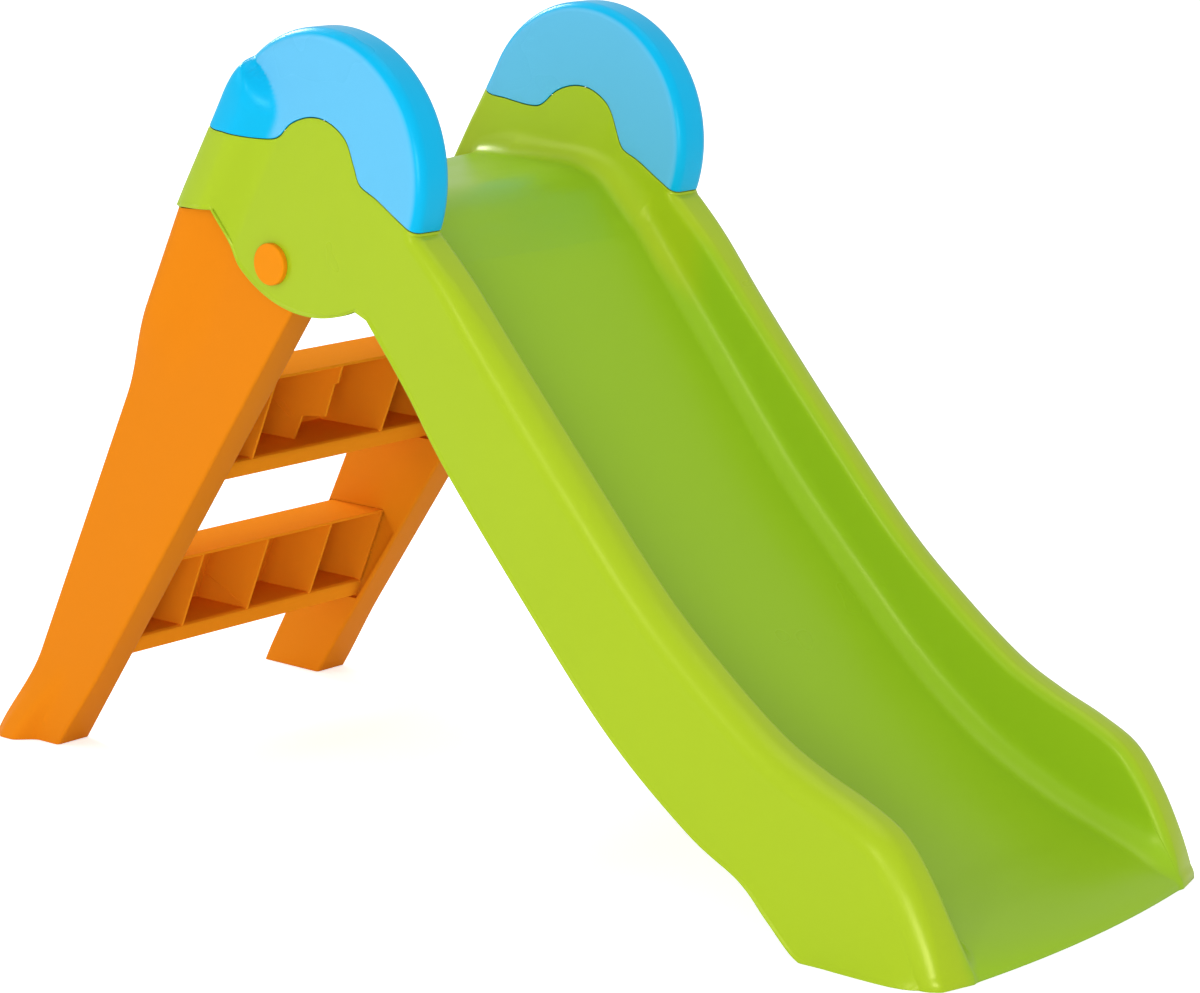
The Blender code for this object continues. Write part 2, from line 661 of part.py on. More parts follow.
def build_leg(side, group, tools, material):
    """Ladder leg: a tapered box beam with a round end at the pivot and a flared, scalloped foot."""
    name = "ladder_leg_left" if side > 0 else "ladder_leg_right"
    fine = [FOOT_FLARE_H * share for share in (0.0, 0.12, 0.26, 0.42, 0.6, 0.8, 1.0)]
    tangent = PIVOT_Z - LEG_END_R * LEG_FRONT_LEAN / math.sqrt(1 + LEG_FRONT_LEAN ** 2)
    top = [tangent + (LEG_TOP - tangent) * math.sin(math.radians(90 * i / 7)) for i in range(8)]
    middle = [FOOT_FLARE_H + (tangent - FOOT_FLARE_H) * (i / LEG_LEVELS) for i in range(1, LEG_LEVELS)]
    rings = [leg_section(z) for z in fine + middle + top]
    solid = bmesh.new()
    verts = [[solid.verts.new(p) for p in ring] for ring in rings]
    count = len(rings[0])
    for a, b in zip(verts, verts[1:]):
        for i in range(count):
            j = (i + 1) % count
            solid.faces.new((a[i], a[j], b[j], b[i]))
    solid.faces.new(verts[-1])
    solid.faces.new(list(reversed(verts[0])))
    bmesh.ops.remove_doubles(solid, verts=solid.verts, dist=0.00002)
    bmesh.ops.recalc_face_normals(solid, faces=solid.faces)
    mesh = bpy.data.meshes.new(name)
    solid.to_mesh(mesh)
    solid.free()
    mesh.shade_smooth()
    leg = make_object(name, mesh, group, material)
    mesh.set_sharp_from_angle(angle=math.radians(35))
    bore = rod(name + "_bore", PIVOT_X, PIVOT_Z, PIN_R + PIN_CLEAR, Y_IN, Y_OUT + 0.03, tools)
    cutters = [bore]
    for number, (x, z, angle) in enumerate(peg_places()):
        cutters.append(peg(f"{name}_socket_{number}", x, z, angle, GAP, tools, side=1))
    add_boolean(leg, cutters, "DIFFERENCE")
    if side < 0:
        for thing in [leg] + cutters:
            flip_side(thing)
    return leg


def step_frame(tread, height):
    """Corner points of a step's tray, seen from the side, as a dictionary of (x, z)."""
    front_x, top, depth = tread
    rear_x = front_x - depth
    low = top - height
    return {
        "top_front": (front_x, top),
        "top_rear": (rear_x, top),
        "low_rear": (rear_x - STEP_LEAN * height, low),
        "low_front": (front_x - STEP_LEAN * height + 0.004, low),
        "lip": (front_x - STEP_LEAN * (height + LIP_DROP) + 0.004, low - LIP_DROP),
    }


def step_outline(tread, height):
    """Side outline of the tray's sheet: tread, riser, floor and the lip that turns down."""
    c = step_frame(tread, height)
    t = STEP_WALL
    (fx, top), (rx, _), (lx, low), (gx, _), (px, lip) = (
        c["top_front"], c["top_rear"], c["low_rear"], c["low_front"], c["lip"])
    lean = STEP_LEAN * t
    return [
        (fx, top), (rx, top), (lx, low - t), (gx - t, low - t), (px - t, lip), (px, lip),
        (gx, low), (lx + t + lean, low), (rx + t + 0.2 * t, top - t), (fx, top - t),
    ]


def web_outline(tread, height):
    """Rib or end wall: it fills the tray's section up to its open front, sunk into the sheet."""
    c = step_frame(tread, height)
    sunk = STEP_WALL / 2
    (fx, top), (rx, _), (lx, low), (gx, _) = c["top_front"], c["top_rear"], c["low_rear"], c["low_front"]
    return [(fx - 0.002, top - sunk), (rx + sunk, top - sunk), (lx + sunk + 0.001, low - sunk),
            (gx - 0.002, low - sunk)]


def notched_web(tread, height):
    """Middle rib of the upper step, with the square notch in its front edge."""
    outline = web_outline(tread, height)
    (fx, top), (rx, _), (lx, low), (gx, _) = outline
    half = 0.45 * (top - low)
    depth = 0.032
    notch_x = fx + (gx - fx) * 0.62
    return [(fx, top), (rx, top), (lx, low), (gx - depth, low), (notch_x - depth, low + 0.38 * (top - low)),
            (notch_x, low + 0.38 * (top - low) + half * 0.02)]


def peg_places():
    """Middle (x, z) and slope of the pegs that join the steps' ends to the legs."""
    places = []
    for tread, height in ((UPPER_TREAD, UPPER_HEIGHT), (LOWER_TREAD, LOWER_HEIGHT)):
        front_x, top, depth = tread
        places.append((front_x - 0.5 * depth - 0.004, top - PEG_INSET, 0.0))
        low = top - height + PEG_INSET
        places.append((front_x - 0.5 * depth - STEP_LEAN * (height - PEG_INSET), low, 0.0))
    return places


def peg(name, x, z, angle, clearance, tools, side):
    """Flat peg, or with a clearance its socket, in the inner face of a leg."""
    half_w, half_h = PEG_W / 2 + clearance, PEG_H / 2 + clearance
    start, end = STEP_HALF - 0.0015, STEP_HALF + PEG_LENGTH + clearance
    if clearance:
        start = STEP_HALF - 0.01
    low, high = sorted((side * start, side * end))
    return block(name, (x - half_w, low, z - half_h), (x + half_w, high, z + half_h), tools)


def build_step(name, tread, height, group, tools, material):
    """Step: a thin tray between the legs, ribbed inside, with two pegs in each leg."""
    step = plate(name, step_outline(tread, height), -STEP_HALF, STEP_HALF, group)
    step.data.materials.append(material)
    webs = []
    for end in (-1, 1):
        low, high = sorted((end * (STEP_HALF - STEP_END_R), end * (STEP_HALF - 0.0001)))
        webs.append(plate(f"{name}_end_{end}", web_outline(tread, height), low, high, tools))
    for index in STEP_RIBS:
        middle = index * RIB_PITCH
        outline = notched_web(tread, height) if index == 0 and tread is UPPER_TREAD else web_outline(tread, height)
        webs.append(plate(f"{name}_rib_{index}", outline, middle - STEP_WALL / 2, middle + STEP_WALL / 2, tools))
    for number, (x, z, angle) in enumerate(peg_places()):
        mine = (number < 2) == (tread is UPPER_TREAD)
        for side in (1, -1):
            if mine:
                webs.append(peg(f"{name}_peg_{number}_{side}", x, z, angle, 0.0, tools, side))
    add_boolean(step, webs, "UNION")
    return step


def build_all():
    clear_scene()
    parts = make_collection("Folding slide")
    tools = make_collection("Tools")
    green = make_material("Green plastic", GREEN, 0.32)
    blue = make_material("Blue plastic", BLUE, 0.28)
    orange = make_material("Orange plastic", ORANGE, 0.34)
    build_slide(parts, tools, green)
    build_step("step_upper", UPPER_TREAD, UPPER_HEIGHT, parts, tools, orange)
    build_step("step_lower", LOWER_TREAD, LOWER_HEIGHT, parts, tools, orange)
    for side in (1, -1):
        build_cap(side, parts, tools, blue)
        build_pin(side, parts, orange)
        build_clip(side, parts, orange)
        build_leg(side, parts, tools, orange)
    hinge = bpy.data.objects.new("fold_axis", None)
    parts.objects.link(hinge)
    hinge.location = (PIVOT_X, 0, PIVOT_Z)
    bpy.context.view_layer.update()
    for name in ("ladder_leg_left", "ladder_leg_right", "step_upper", "step_lower"):
        piece = bpy.data.objects[name]
        piece.parent = hinge
        piece.matrix_parent_inverse = hinge.matrix_world.inverted()


build_all()
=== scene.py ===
import math

import bmesh
import bpy
import numpy as np
from mathutils import Matrix, Vector


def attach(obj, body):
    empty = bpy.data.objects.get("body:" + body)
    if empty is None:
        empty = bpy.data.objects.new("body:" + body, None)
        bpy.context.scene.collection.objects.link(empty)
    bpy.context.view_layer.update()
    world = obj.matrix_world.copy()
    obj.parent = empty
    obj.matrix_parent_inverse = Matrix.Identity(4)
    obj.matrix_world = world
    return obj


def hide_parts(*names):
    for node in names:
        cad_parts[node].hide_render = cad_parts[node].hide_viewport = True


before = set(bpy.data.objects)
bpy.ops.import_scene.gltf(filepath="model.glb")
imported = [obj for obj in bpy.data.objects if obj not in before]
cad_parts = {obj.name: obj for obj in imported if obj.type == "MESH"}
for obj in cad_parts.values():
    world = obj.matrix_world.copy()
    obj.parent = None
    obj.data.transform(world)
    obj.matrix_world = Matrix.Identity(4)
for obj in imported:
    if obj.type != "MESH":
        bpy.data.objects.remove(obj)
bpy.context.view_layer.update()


# Slide body. One thin green moulding: the chute with its two rails and side skirts, the platform and
# the two tall ears with their rounded rear posts. It is open underneath and stands on its lower rim,
# and its edge turns out a little all round.

HALF_WIDTH = 0.225
RAIL_WIDTH = 0.049
Y_IN = HALF_WIDTH - RAIL_WIDTH
WALL = 0.0035
CROWN_R, NOSE_CROWN_R, RAIL_CROWN_R, EAR_CROWN_R = 0.012, 0.010, 0.028, 0.014
BED_FILLET = 0.025
BED_SAG = 0.005
SKIRT_FLARE = 0.0135
LIP_BOW = 0.0114
CORNER_R = 0.055
RAIL_LEAST = 0.0015
RIM_TURN, RIM_ROUND, RIM_REACH = 0.0013, 0.0012, 0.009
RIM_LEFT = (1, 0.8, 0.66, 0.54, 0.44, 0.35, 0.27, 0.2, 0.14, 0.09, 0.05, 0.02, 0.0)
NOSE_STATIONS, EAR_BLEND_FROM, EAR_BLEND_OVER = 5.0, 10, 3
FLARE_RUN, BOW_SHARPNESS, BULGE_POWER, DOME_POWER = 0.4, 25, 0.3, 0.6
DISC = (-0.156, 0.678, 0.150)
EAR_TOP = (-0.148, 0.677, 0.1429)
EAR_FRONT, EAR_REAR, CUSP, CONTOUR, POST_LOW = (math.radians(a) for a in (-22.0, 148.0, -66.0, -132.0, -160.1))
POST_CORNER_X = -0.281
POST_BULGE, POST_WIDTH, POST_CREST, DOME_START, DOME_LENGTH = 0.0226, 0.085, 0.43, 0.150, 0.038
PLATFORM_Z, PLATFORM_REAR, APRON_DROP = 0.648, -0.300, 0.042
STATIONS = (
    (0.6383, -0.004, 0.6393, -0.004, 0.634, -0.004),
    (0.6355, 0.0115, 0.6365, 0.008, 0.620, -0.004),
    (0.6200, 0.047, 0.6205, 0.020, 0.580, -0.004),
    (0.5945, 0.092, 0.5935, 0.032, 0.540, -0.004),
    (0.5640, 0.129, 0.5580, 0.043, 0.510, -0.004),
    (0.5230, 0.151, 0.5150, 0.056, 0.480, 0.002),
    (0.4735, 0.170, 0.4600, 0.079, 0.447, 0.031),
    (0.4225, 0.195, 0.4000, 0.111, 0.413, 0.0625),
    (0.3555, 0.243, 0.3220, 0.169, 0.350, 0.0965),
    (0.2810, 0.306, 0.2400, 0.248, 0.250, 0.173),
    (0.1865, 0.407, 0.1440, 0.346, 0.140, 0.283),
    (0.0860, 0.518, 0.0420, 0.470, 0.033, 0.397),
    (0.0310, 0.580, -0.0100, 0.533, -0.022, 0.468),
    (-0.0100, 0.620, -0.0500, 0.583, -0.078, 0.534),
)
CREST = ((-0.050, 0.583), (-0.078, 0.610), (-0.105, 0.633), (-0.140, 0.6455), (-0.190, 0.648), (-0.240, 0.648))
SPAN_ROWS, NOTCH_ROWS, ARC_ROWS, POST_ROWS = 10, 8, 130, 70
BED_STEPS, FILLET_STEPS, WALL_STEPS, CROWN_STEPS, SIDE_STEPS = 16, 12, 5, 12, 42


def catmull(keys, per):
    """Catmull-Rom curve through the keys, with `per` samples to a span."""
    keys = np.array(keys, float)
    keys = np.vstack([2 * keys[0] - keys[1], keys, 2 * keys[-1] - keys[-2]])
    t = (np.arange(per) / per)[:, None]
    spans = []
    for a, b, c, d in zip(keys, keys[1:], keys[2:], keys[3:]):
        spans.append(0.5 * (2 * b + (c - a) * t + (2 * a - 5 * b + 4 * c - d) * t ** 2
                            + (3 * b - a - 3 * c + d) * t ** 3))
    return np.vstack(spans + [keys[-2]])


def along_line(points, shares):
    """Points at the given shares of a polyline's length."""
    lengths = np.concatenate([[0], np.cumsum(np.linalg.norm(np.diff(points, axis=0), axis=1))])
    want = np.asarray(shares) * lengths[-1]
    return np.column_stack([np.interp(want, lengths, points[:, i]) for i in range(points.shape[1])])


def left_normals(points):
    """Unit normals on the left of a polyline in the XZ plane."""
    run = np.gradient(points, axis=0)
    out = np.column_stack([run[:, 1], -run[:, 0]])
    return out / np.maximum(np.linalg.norm(out, axis=1, keepdims=True), 1e-9)


def smooth(t):
    t = np.clip(t, 0.0, 1.0)
    return t * t * (3 - 2 * t)


def on_circle(circle, angles):
    x, z, radius = circle
    return np.column_stack([x + radius * np.cos(angles), z + radius * np.sin(angles)])


post_foot = np.array((-0.3405, DISC[1] + DISC[2] * math.sin(POST_LOW)))
post_top = on_circle(EAR_TOP, np.array([EAR_REAR]))[0]
post_up = (post_top - post_foot) / np.linalg.norm(post_top - post_foot)


def bulge_at(x, z):
    """Outward swell of the rounded post, at places on the side of an ear; it ends upwards in a dome."""
    away = np.stack([x - post_foot[0], z - post_foot[1]], axis=-1)
    end = np.clip((away @ post_up - DOME_START) / DOME_LENGTH, 0, 1)
    dome = np.sqrt(1 - end * end)
    inward = (away @ np.array((post_up[1], -post_up[0]))) / np.maximum(POST_WIDTH * dome, 1e-6)
    near = (1 - np.clip(1 - inward / POST_CREST, 0, 1) ** 2) ** BULGE_POWER
    far = 1 - smooth((inward - POST_CREST) / (1 - POST_CREST))
    rise = np.where(inward < POST_CREST, near, far)
    return np.where((inward > 0) & (inward < 1), POST_BULGE * dome ** DOME_POWER * rise, 0.0)


def low_contour(shares):
    """Lower edge of an ear, from the cusp round the disc and up to the front corner of the post's foot."""
    disc = on_circle(DISC, CUSP + (CONTOUR - CUSP) * np.arange(121) / 120)
    start, end = disc[-1], np.array((POST_CORNER_X, post_foot[1]))
    reach = 0.8 * np.linalg.norm(end - start)
    leave = np.array((math.sin(CONTOUR), -math.cos(CONTOUR))) * reach
    arrive = np.array((-0.25, 0.97)) * reach
    t = (np.arange(1, 49) / 48)[:, None]
    rise = (start * (2 * t ** 3 - 3 * t * t + 1) + leave * (t ** 3 - 2 * t * t + t)
            + end * (3 * t * t - 2 * t ** 3) + arrive * (t ** 3 - t * t))
    return along_line(np.vstack([disc, rise]), shares)


def turn_between(a, b, shares):
    """Unit directions from one to another in the XZ plane, by angle."""
    start, end = math.atan2(a[1], a[0]), math.atan2(b[1], b[0])
    end = start + (end - start + math.pi) % (2 * math.pi) - math.pi
    angles = start + (end - start) * shares
    return np.column_stack([np.cos(angles), np.sin(angles)])


def slide_rows():
    """Every section of the moulding: rail top, floor and skirt edge with two normals, three radii, nose share."""
    run = catmull(STATIONS, SPAN_ROWS)
    tops, beds, lows = run[:, 0:2], run[:, 2:4], run[:, 4:6]
    station = np.arange(len(run)) / SPAN_ROWS
    nose = 1 - smooth(station / NOSE_STATIONS)
    outer = RAIL_CROWN_R + (EAR_CROWN_R - RAIL_CROWN_R) * smooth((station - EAR_BLEND_FROM) / EAR_BLEND_OVER)
    outer = outer + (NOSE_CROWN_R - outer) * nose
    flat = np.zeros(len(run))
    slope = np.column_stack([tops, left_normals(tops), beds, left_normals(beds), lows,
                             flat + BED_FILLET, flat + CROWN_R, outer, nose])
    shares = np.arange(ARC_ROWS + 1) / ARC_ROWS
    tops = on_circle(EAR_TOP, EAR_FRONT + (EAR_REAR - EAR_FRONT) * shares)
    crest = along_line(catmull(CREST, 24), 1 / 16 + shares * 15 / 16)
    out = tops - np.array(EAR_TOP[:2])
    out /= np.linalg.norm(out, axis=1, keepdims=True)
    lows = low_contour(shares)
    flat = np.zeros(ARC_ROWS + 1)
    arc = np.column_stack([tops, out, crest, left_normals(crest), lows,
                           flat + BED_FILLET, flat + CROWN_R, flat + EAR_CROWN_R, flat])
    t = (np.arange(1, NOTCH_ROWS) / NOTCH_ROWS)[:, None]
    notch = slope[-1] * (1 - t) + arc[0] * t
    notch[:, 2:4] = turn_between(slope[-1][2:4], arc[0][2:4], smooth(t[:, 0]))
    return np.vstack([slope, notch, arc, post_rows(crest[-1], lows[-1])])


def post_rows(platform, low):
    """Sections down the rear post, where the platform rolls over into its rear apron."""
    shares = np.arange(1, POST_ROWS + 1) / POST_ROWS
    edge = np.array((PLATFORM_REAR, PLATFORM_Z))
    apron = catmull((platform, edge + (0.014, 0), edge + (0, -0.25 * APRON_DROP),
                     edge + (-0.005, -0.6 * APRON_DROP), edge + (-0.006, -APRON_DROP)), 24)
    beds = along_line(apron, np.concatenate([[0], shares]))
    bed_normals = left_normals(beds)[1:]
    tops = post_top + (post_foot - post_top) * shares[:, None]
    back = np.array((-post_up[1], post_up[0]))
    normals = back + (np.array((-1.0, 0.0)) - back) * smooth(2 * shares - 1)[:, None]
    normals /= np.linalg.norm(normals, axis=1, keepdims=True)
    lows = low + (post_foot + (1.15 * CROWN_R, 0) - low) * shares[:, None]
    down = smooth(shares)
    return np.column_stack([tops, normals, beds[1:], bed_normals, lows, BED_FILLET * (1 - 0.76 * down),
                            CROWN_R * (1 - 0.5 * down), EAR_CROWN_R + (0.5 * CROWN_R - EAR_CROWN_R) * down,
                            np.zeros(POST_ROWS)])


def slide_section(row):
    """Points of one half section, from the middle of the floor over the rail to the skirt's turned-out edge."""
    top, top_n, bed, bed_n, low = (row[i:i + 2] for i in range(0, 10, 2))
    fillet, crown, outer, nose = row[10:]
    middle = (top_n + bed_n) / np.linalg.norm(top_n + bed_n)
    height = (top - bed) @ middle
    if height < RAIL_LEAST:
        top, height = top + middle * (RAIL_LEAST - height), RAIL_LEAST
    turn = math.acos(max(1 - height / (fillet + crown), 0.0))
    edge = Y_IN - fillet * math.sin(turn)
    pieces = []

    def lay(base, normal, lift, y):
        place = base + np.outer(lift, normal)
        pieces.append(np.column_stack([place[:, 0], y, place[:, 1]]))

    def climb(rise, y):
        share, rise = (rise / height)[:, None], rise[:, None]
        place = (bed + rise * bed_n) * (1 - share) + (top - (height - rise) * top_n) * share
        pieces.append(np.column_stack([place[:, 0], y, place[:, 1]]))

    shares = np.sin(np.arange(BED_STEPS) / BED_STEPS * math.pi / 2)
    lay(bed, bed_n, -BED_SAG * (1 - nose) * (1 - shares ** 2), edge * shares)
    angles = turn * np.arange(FILLET_STEPS) / (FILLET_STEPS - 0.5)
    climb(fillet * (1 - np.cos(angles)), edge + fillet * np.sin(angles))
    foot, head = fillet * (1 - math.cos(turn)), height - crown * (1 - math.cos(turn))
    climb(foot + (head - foot) * (np.arange(WALL_STEPS) + 0.5) / WALL_STEPS, np.full(WALL_STEPS, Y_IN))
    angles = turn * (1 - (np.arange(CROWN_STEPS) + 0.5) / (CROWN_STEPS - 0.5))
    climb(height - crown * (1 - np.cos(angles)), Y_IN + crown * (math.sin(turn) - np.sin(angles)))
    angles = np.radians(90) * np.arange(CROWN_STEPS) / CROWN_STEPS
    lay(top, top_n, -outer * (1 - np.cos(angles)), HALF_WIDTH - outer * (1 - np.sin(angles)))
    flare = SKIRT_FLARE * smooth((low[0] - DISC[0] - DISC[2] * math.cos(CUSP)) / FLARE_RUN)
    side = top - top_n * outer
    length = np.linalg.norm(low - side)
    rim = min(RIM_REACH, 0.6 * length)
    left = rim * np.array(RIM_LEFT)
    shares = np.concatenate([(1 - rim / length) * np.arange(SIDE_STEPS) / SIDE_STEPS, 1 - left / length])
    lay(side, low - side, shares, HALF_WIDTH + flare * shares)
    points = np.vstack(pieces)
    x, y, z = points.T
    corner = np.clip(y - (HALF_WIDTH + SKIRT_FLARE - CORNER_R), 0, CORNER_R)
    bow = LIP_BOW * np.logaddexp(0, BOW_SHARPNESS * (1 - (y / Y_IN) ** 2)) / BOW_SHARPNESS
    back = CORNER_R - np.sqrt(np.maximum(CORNER_R ** 2 - corner ** 2, 0))
    swell = smooth((y - HALF_WIDTH + outer) / outer) * bulge_at(x, z)
    points = np.column_stack([x + nose * (bow - back), y + swell, z])
    left = (1 - shares) * length
    out = RIM_TURN * smooth((0.6 * rim - left) / (0.4 * rim)) * rim / RIM_REACH
    short = np.clip(RIM_ROUND - left, 0, None)
    points[-len(left):, 1] += out - (RIM_ROUND - np.sqrt(np.maximum(RIM_ROUND ** 2 - short ** 2, 0)))
    return points


def grid_bmesh(rows):
    """Quad sheet through equally long rows of points."""
    sheet = bmesh.new()
    verts = [[sheet.verts.new(p) for p in row] for row in rows]
    for a, b in zip(verts, verts[1:]):
        for i in range(len(a) - 1):
            sheet.faces.new((a[i], a[i + 1], b[i + 1], b[i]))
    return sheet


def cut_along(sheet, values, level):
    """Splits a sheet's faces along the line where the vertex values pass a level."""
    for edge in list(sheet.edges):
        a, b = edge.verts
        low, high = values[a] - level, values[b] - level
        if low * high < 0 and min(abs(low), abs(high)) > 2e-5:
            _, vert = bmesh.utils.edge_split(edge, a, low / (low - high))
            values[vert] = level
    for vert, value in values.items():
        if abs(value - level) <= 2e-5:
            values[vert] = level
    for face in list(sheet.faces):
        on = [v for v in face.verts if values[v] == level]
        if len(on) == 2 and not any(set(e.verts) == set(on) for e in face.edges):
            bmesh.utils.face_split(face, *on)


def mesh_from(name, sheet, sharp=None):
    """Smooth mesh of a bmesh; edges above the sharp angle, in degrees, stay sharp."""
    mesh = bpy.data.meshes.new(name)
    sheet.to_mesh(mesh)
    sheet.free()
    mesh.shade_smooth()
    if sharp:
        mesh.set_sharp_from_angle(angle=math.radians(sharp))
    return mesh


def show(name, mesh, body, slot, material, *nodes):
    """Puts a piece in the scene, on its body, in place of the CAD nodes it stands for; slot is not used."""
    piece = bpy.data.objects.new(name, mesh)
    bpy.context.scene.collection.objects.link(piece)
    mesh.materials.clear()
    mesh.materials.append(material)
    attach(piece, body)
    if nodes:
        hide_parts(*nodes)
    return piece


SEAM = (
    (0.060, 0.6235), (0.030, 0.6240), (-0.009, 0.6245), (-0.030, 0.6355), (-0.063, 0.6560), (-0.086, 0.6680),
    (-0.0945, 0.6870), (-0.1060, 0.7120), (-0.1300, 0.7275), (-0.1560, 0.7300), (-0.1820, 0.7215),
    (-0.2000, 0.7065), (-0.2200, 0.7040), (-0.2550, 0.7090), (-0.2800, 0.7130), (-0.3050, 0.7300),
    (-0.3700, 0.7700),
)
SEAM_GAP, SEAM_ROUND = 0.0004, 0.0011
seam_line = catmull(SEAM, 14)


def seam_distance(x, z):
    """Signed distance in the XZ plane from the wavy seam, above it positive."""
    a, b = seam_line[:-1], seam_line[1:]
    run = b - a
    best, sign = np.full(len(x), 1e9), np.ones(len(x))
    for start, step in zip(a, run):
        away = np.column_stack([x, z]) - start
        t = np.clip(away @ step / (step @ step), 0, 1)
        gap = away - t[:, None] * step
        far = np.linalg.norm(gap, axis=1)
        side = np.sign(gap @ np.array((step[1], -step[0])))
        closer = far < best - 1e-12
        best[closer], sign[closer] = far[closer], side[closer]
    return best * sign


def ear_sheet(rows, above):
    """Half sheet of the moulding, cut at the seam with a rounded edge; above keeps the cap, else the body."""
    sheet = grid_bmesh([slide_section(row) for row in rows])
    co = np.array([v.co for v in sheet.verts])
    facing = 1 if above else -1
    values = dict(zip(sheet.verts, (seam_distance(co[:, 0], co[:, 2]) * facing - SEAM_GAP).tolist()))
    levels = [SEAM_ROUND * share for share in (1.0, 0.55, 0.22, 0.06, 0.0)]
    for level in levels:
        cut_along(sheet, values, level)
    outside = [f for f in sheet.faces if sum(values[v] for v in f.verts) < 0 and
               min(values[v] for v in f.verts) < -1e-7]
    bmesh.ops.delete(sheet, geom=outside, context="FACES")
    sheet.normal_update()
    normals = {v: v.normal.copy() for v in sheet.verts}
    for vert in sheet.verts:
        near = SEAM_ROUND - values[vert]
        if near > 0:
            vert.co -= normals[vert] * (SEAM_ROUND - math.sqrt(max(SEAM_ROUND ** 2 - near ** 2, 0)))
    return sheet


def baked(piece):
    """A piece's mesh with its modifiers applied."""
    bpy.context.view_layer.update()
    mesh = bpy.data.meshes.new_from_object(piece.evaluated_get(bpy.context.evaluated_depsgraph_get()))
    mesh.shade_smooth()
    return mesh


def solid_wall(piece, mirrored):
    """Gives a sheet its wall, and its other half."""
    if mirrored:
        mirror = piece.modifiers.new("Both sides", "MIRROR")
        mirror.use_axis = (False, True, False)
        mirror.merge_threshold = 0.0001
    wall = piece.modifiers.new("Wall", "SOLIDIFY")
    wall.thickness = WALL
    wall.offset = -1


def new_group(name, inputs, outputs):
    """Empty shader group with named sockets, and its input and output nodes."""
    group = bpy.data.node_groups.new(name, "ShaderNodeTree")
    for label, kind, value in inputs:
        socket = group.interface.new_socket(label, in_out="INPUT", socket_type="NodeSocket" + kind)
        socket.default_value = value
    for label, kind in outputs:
        group.interface.new_socket(label, in_out="OUTPUT", socket_type="NodeSocket" + kind)
    return group, group.nodes.new("NodeGroupInput"), group.nodes.new("NodeGroupOutput")


def add_node(tree, kind, **values):
    """A node with its settings and input values given by name."""
    node = tree.nodes.new("ShaderNode" + kind)
    for key, value in values.items():
        if hasattr(node, key):
            setattr(node, key, value)
        else:
            node.inputs[key.replace("_", " ")].default_value = value
    return node


def noise(tree, place, scale, detail, stretch=(1, 1, 1)):
    """Noise texture in object space, stretched along the axes, as a value about 0.5."""
    squeeze = add_node(tree, "Mapping")
    squeeze.inputs["Scale"].default_value = stretch
    tree.links.new(place, squeeze.inputs["Vector"])
    texture = add_node(tree, "TexNoise", Scale=scale, Detail=detail, Roughness=0.55)
    tree.links.new(squeeze.outputs["Vector"], texture.inputs["Vector"])
    return texture.outputs["Fac"]


def combine(tree, operation, a, b=None, c=None):
    """Math node on sockets or plain numbers."""
    node = add_node(tree, "Math", operation=operation)
    for socket, value in zip(node.inputs, (a, b, c)):
        if isinstance(value, (int, float)):
            socket.default_value = value
        elif value is not None:
            tree.links.new(value, socket)
    return node.outputs[0]


def make_moulded_skin():
    """Group for the skin of a moulding: the plastic's colour, faintly mottled, with a fine grain from the
    mould and slow waves where thick parts shrank, as a colour, a roughness and a height."""
    group, start, end = new_group(
        "Moulded skin",
        (("Colour", "Color", (0.5, 0.5, 0.5, 1)), ("Mottle", "Float", 0.05), ("Roughness", "Float", 0.3),
         ("Grain", "Float", 0.2), ("Waves", "Float", 0.2), ("Streaks", "Float", 0.0)),
        (("Color", "Color"), ("Roughness", "Float"), ("Height", "Float")))
    place = group.nodes.new("ShaderNodeTexCoord").outputs["Object"]
    cloud = noise(group, place, 5.0, 3.0)
    speckle = noise(group, place, 420.0, 2.0)
    grain = noise(group, place, 900.0, 2.0)
    waves = noise(group, place, 26.0, 1.0)
    lines = noise(group, place, 60.0, 3.0, stretch=(7.0, 0.35, 1.0))
    facing = add_node(group, "SeparateXYZ")
    group.links.new(add_node(group, "NewGeometry").outputs["Normal"], facing.inputs[0])
    level = combine(group, "GREATER_THAN", facing.outputs["Z"], 0.95)
    lines = combine(group, "MULTIPLY", combine(group, "MULTIPLY", lines, level), start.outputs["Streaks"])
    both = combine(group, "ADD", combine(group, "MULTIPLY", cloud, 0.75), combine(group, "MULTIPLY", speckle, 0.25))
    spread = combine(group, "MULTIPLY", combine(group, "SUBTRACT", both, 0.5), start.outputs["Mottle"])
    value = combine(group, "ADD", spread, 1.0)
    value = combine(group, "SUBTRACT", value, combine(group, "MULTIPLY", lines, 0.12))
    tint = add_node(group, "VectorMath", operation="SCALE")
    group.links.new(start.outputs["Colour"], tint.inputs[0])
    group.links.new(value, tint.inputs["Scale"])
    group.links.new(tint.outputs[0], end.inputs["Color"])
    rough = combine(group, "MULTIPLY_ADD", combine(group, "SUBTRACT", cloud, 0.5), 0.16, start.outputs["Roughness"])
    group.links.new(rough, end.inputs["Roughness"])
    fine = combine(group, "MULTIPLY_ADD", grain, start.outputs["Grain"], lines)
    height = combine(group, "MULTIPLY_ADD", waves, start.outputs["Waves"], fine)
    group.links.new(height, end.inputs["Height"])
    return group


def ramp(tree, value, low, high, start=0.0, end=1.0):
    """Smooth step of a socket between two values."""
    node = add_node(tree, "MapRange", interpolation_type="SMOOTHSTEP")
    for label, number in (("From Min", low), ("From Max", high), ("To Min", start), ("To Max", end)):
        node.inputs[label].default_value = number
    tree.links.new(value, node.inputs["Value"])
    return node.outputs["Result"]


moulded_skin = make_moulded_skin()


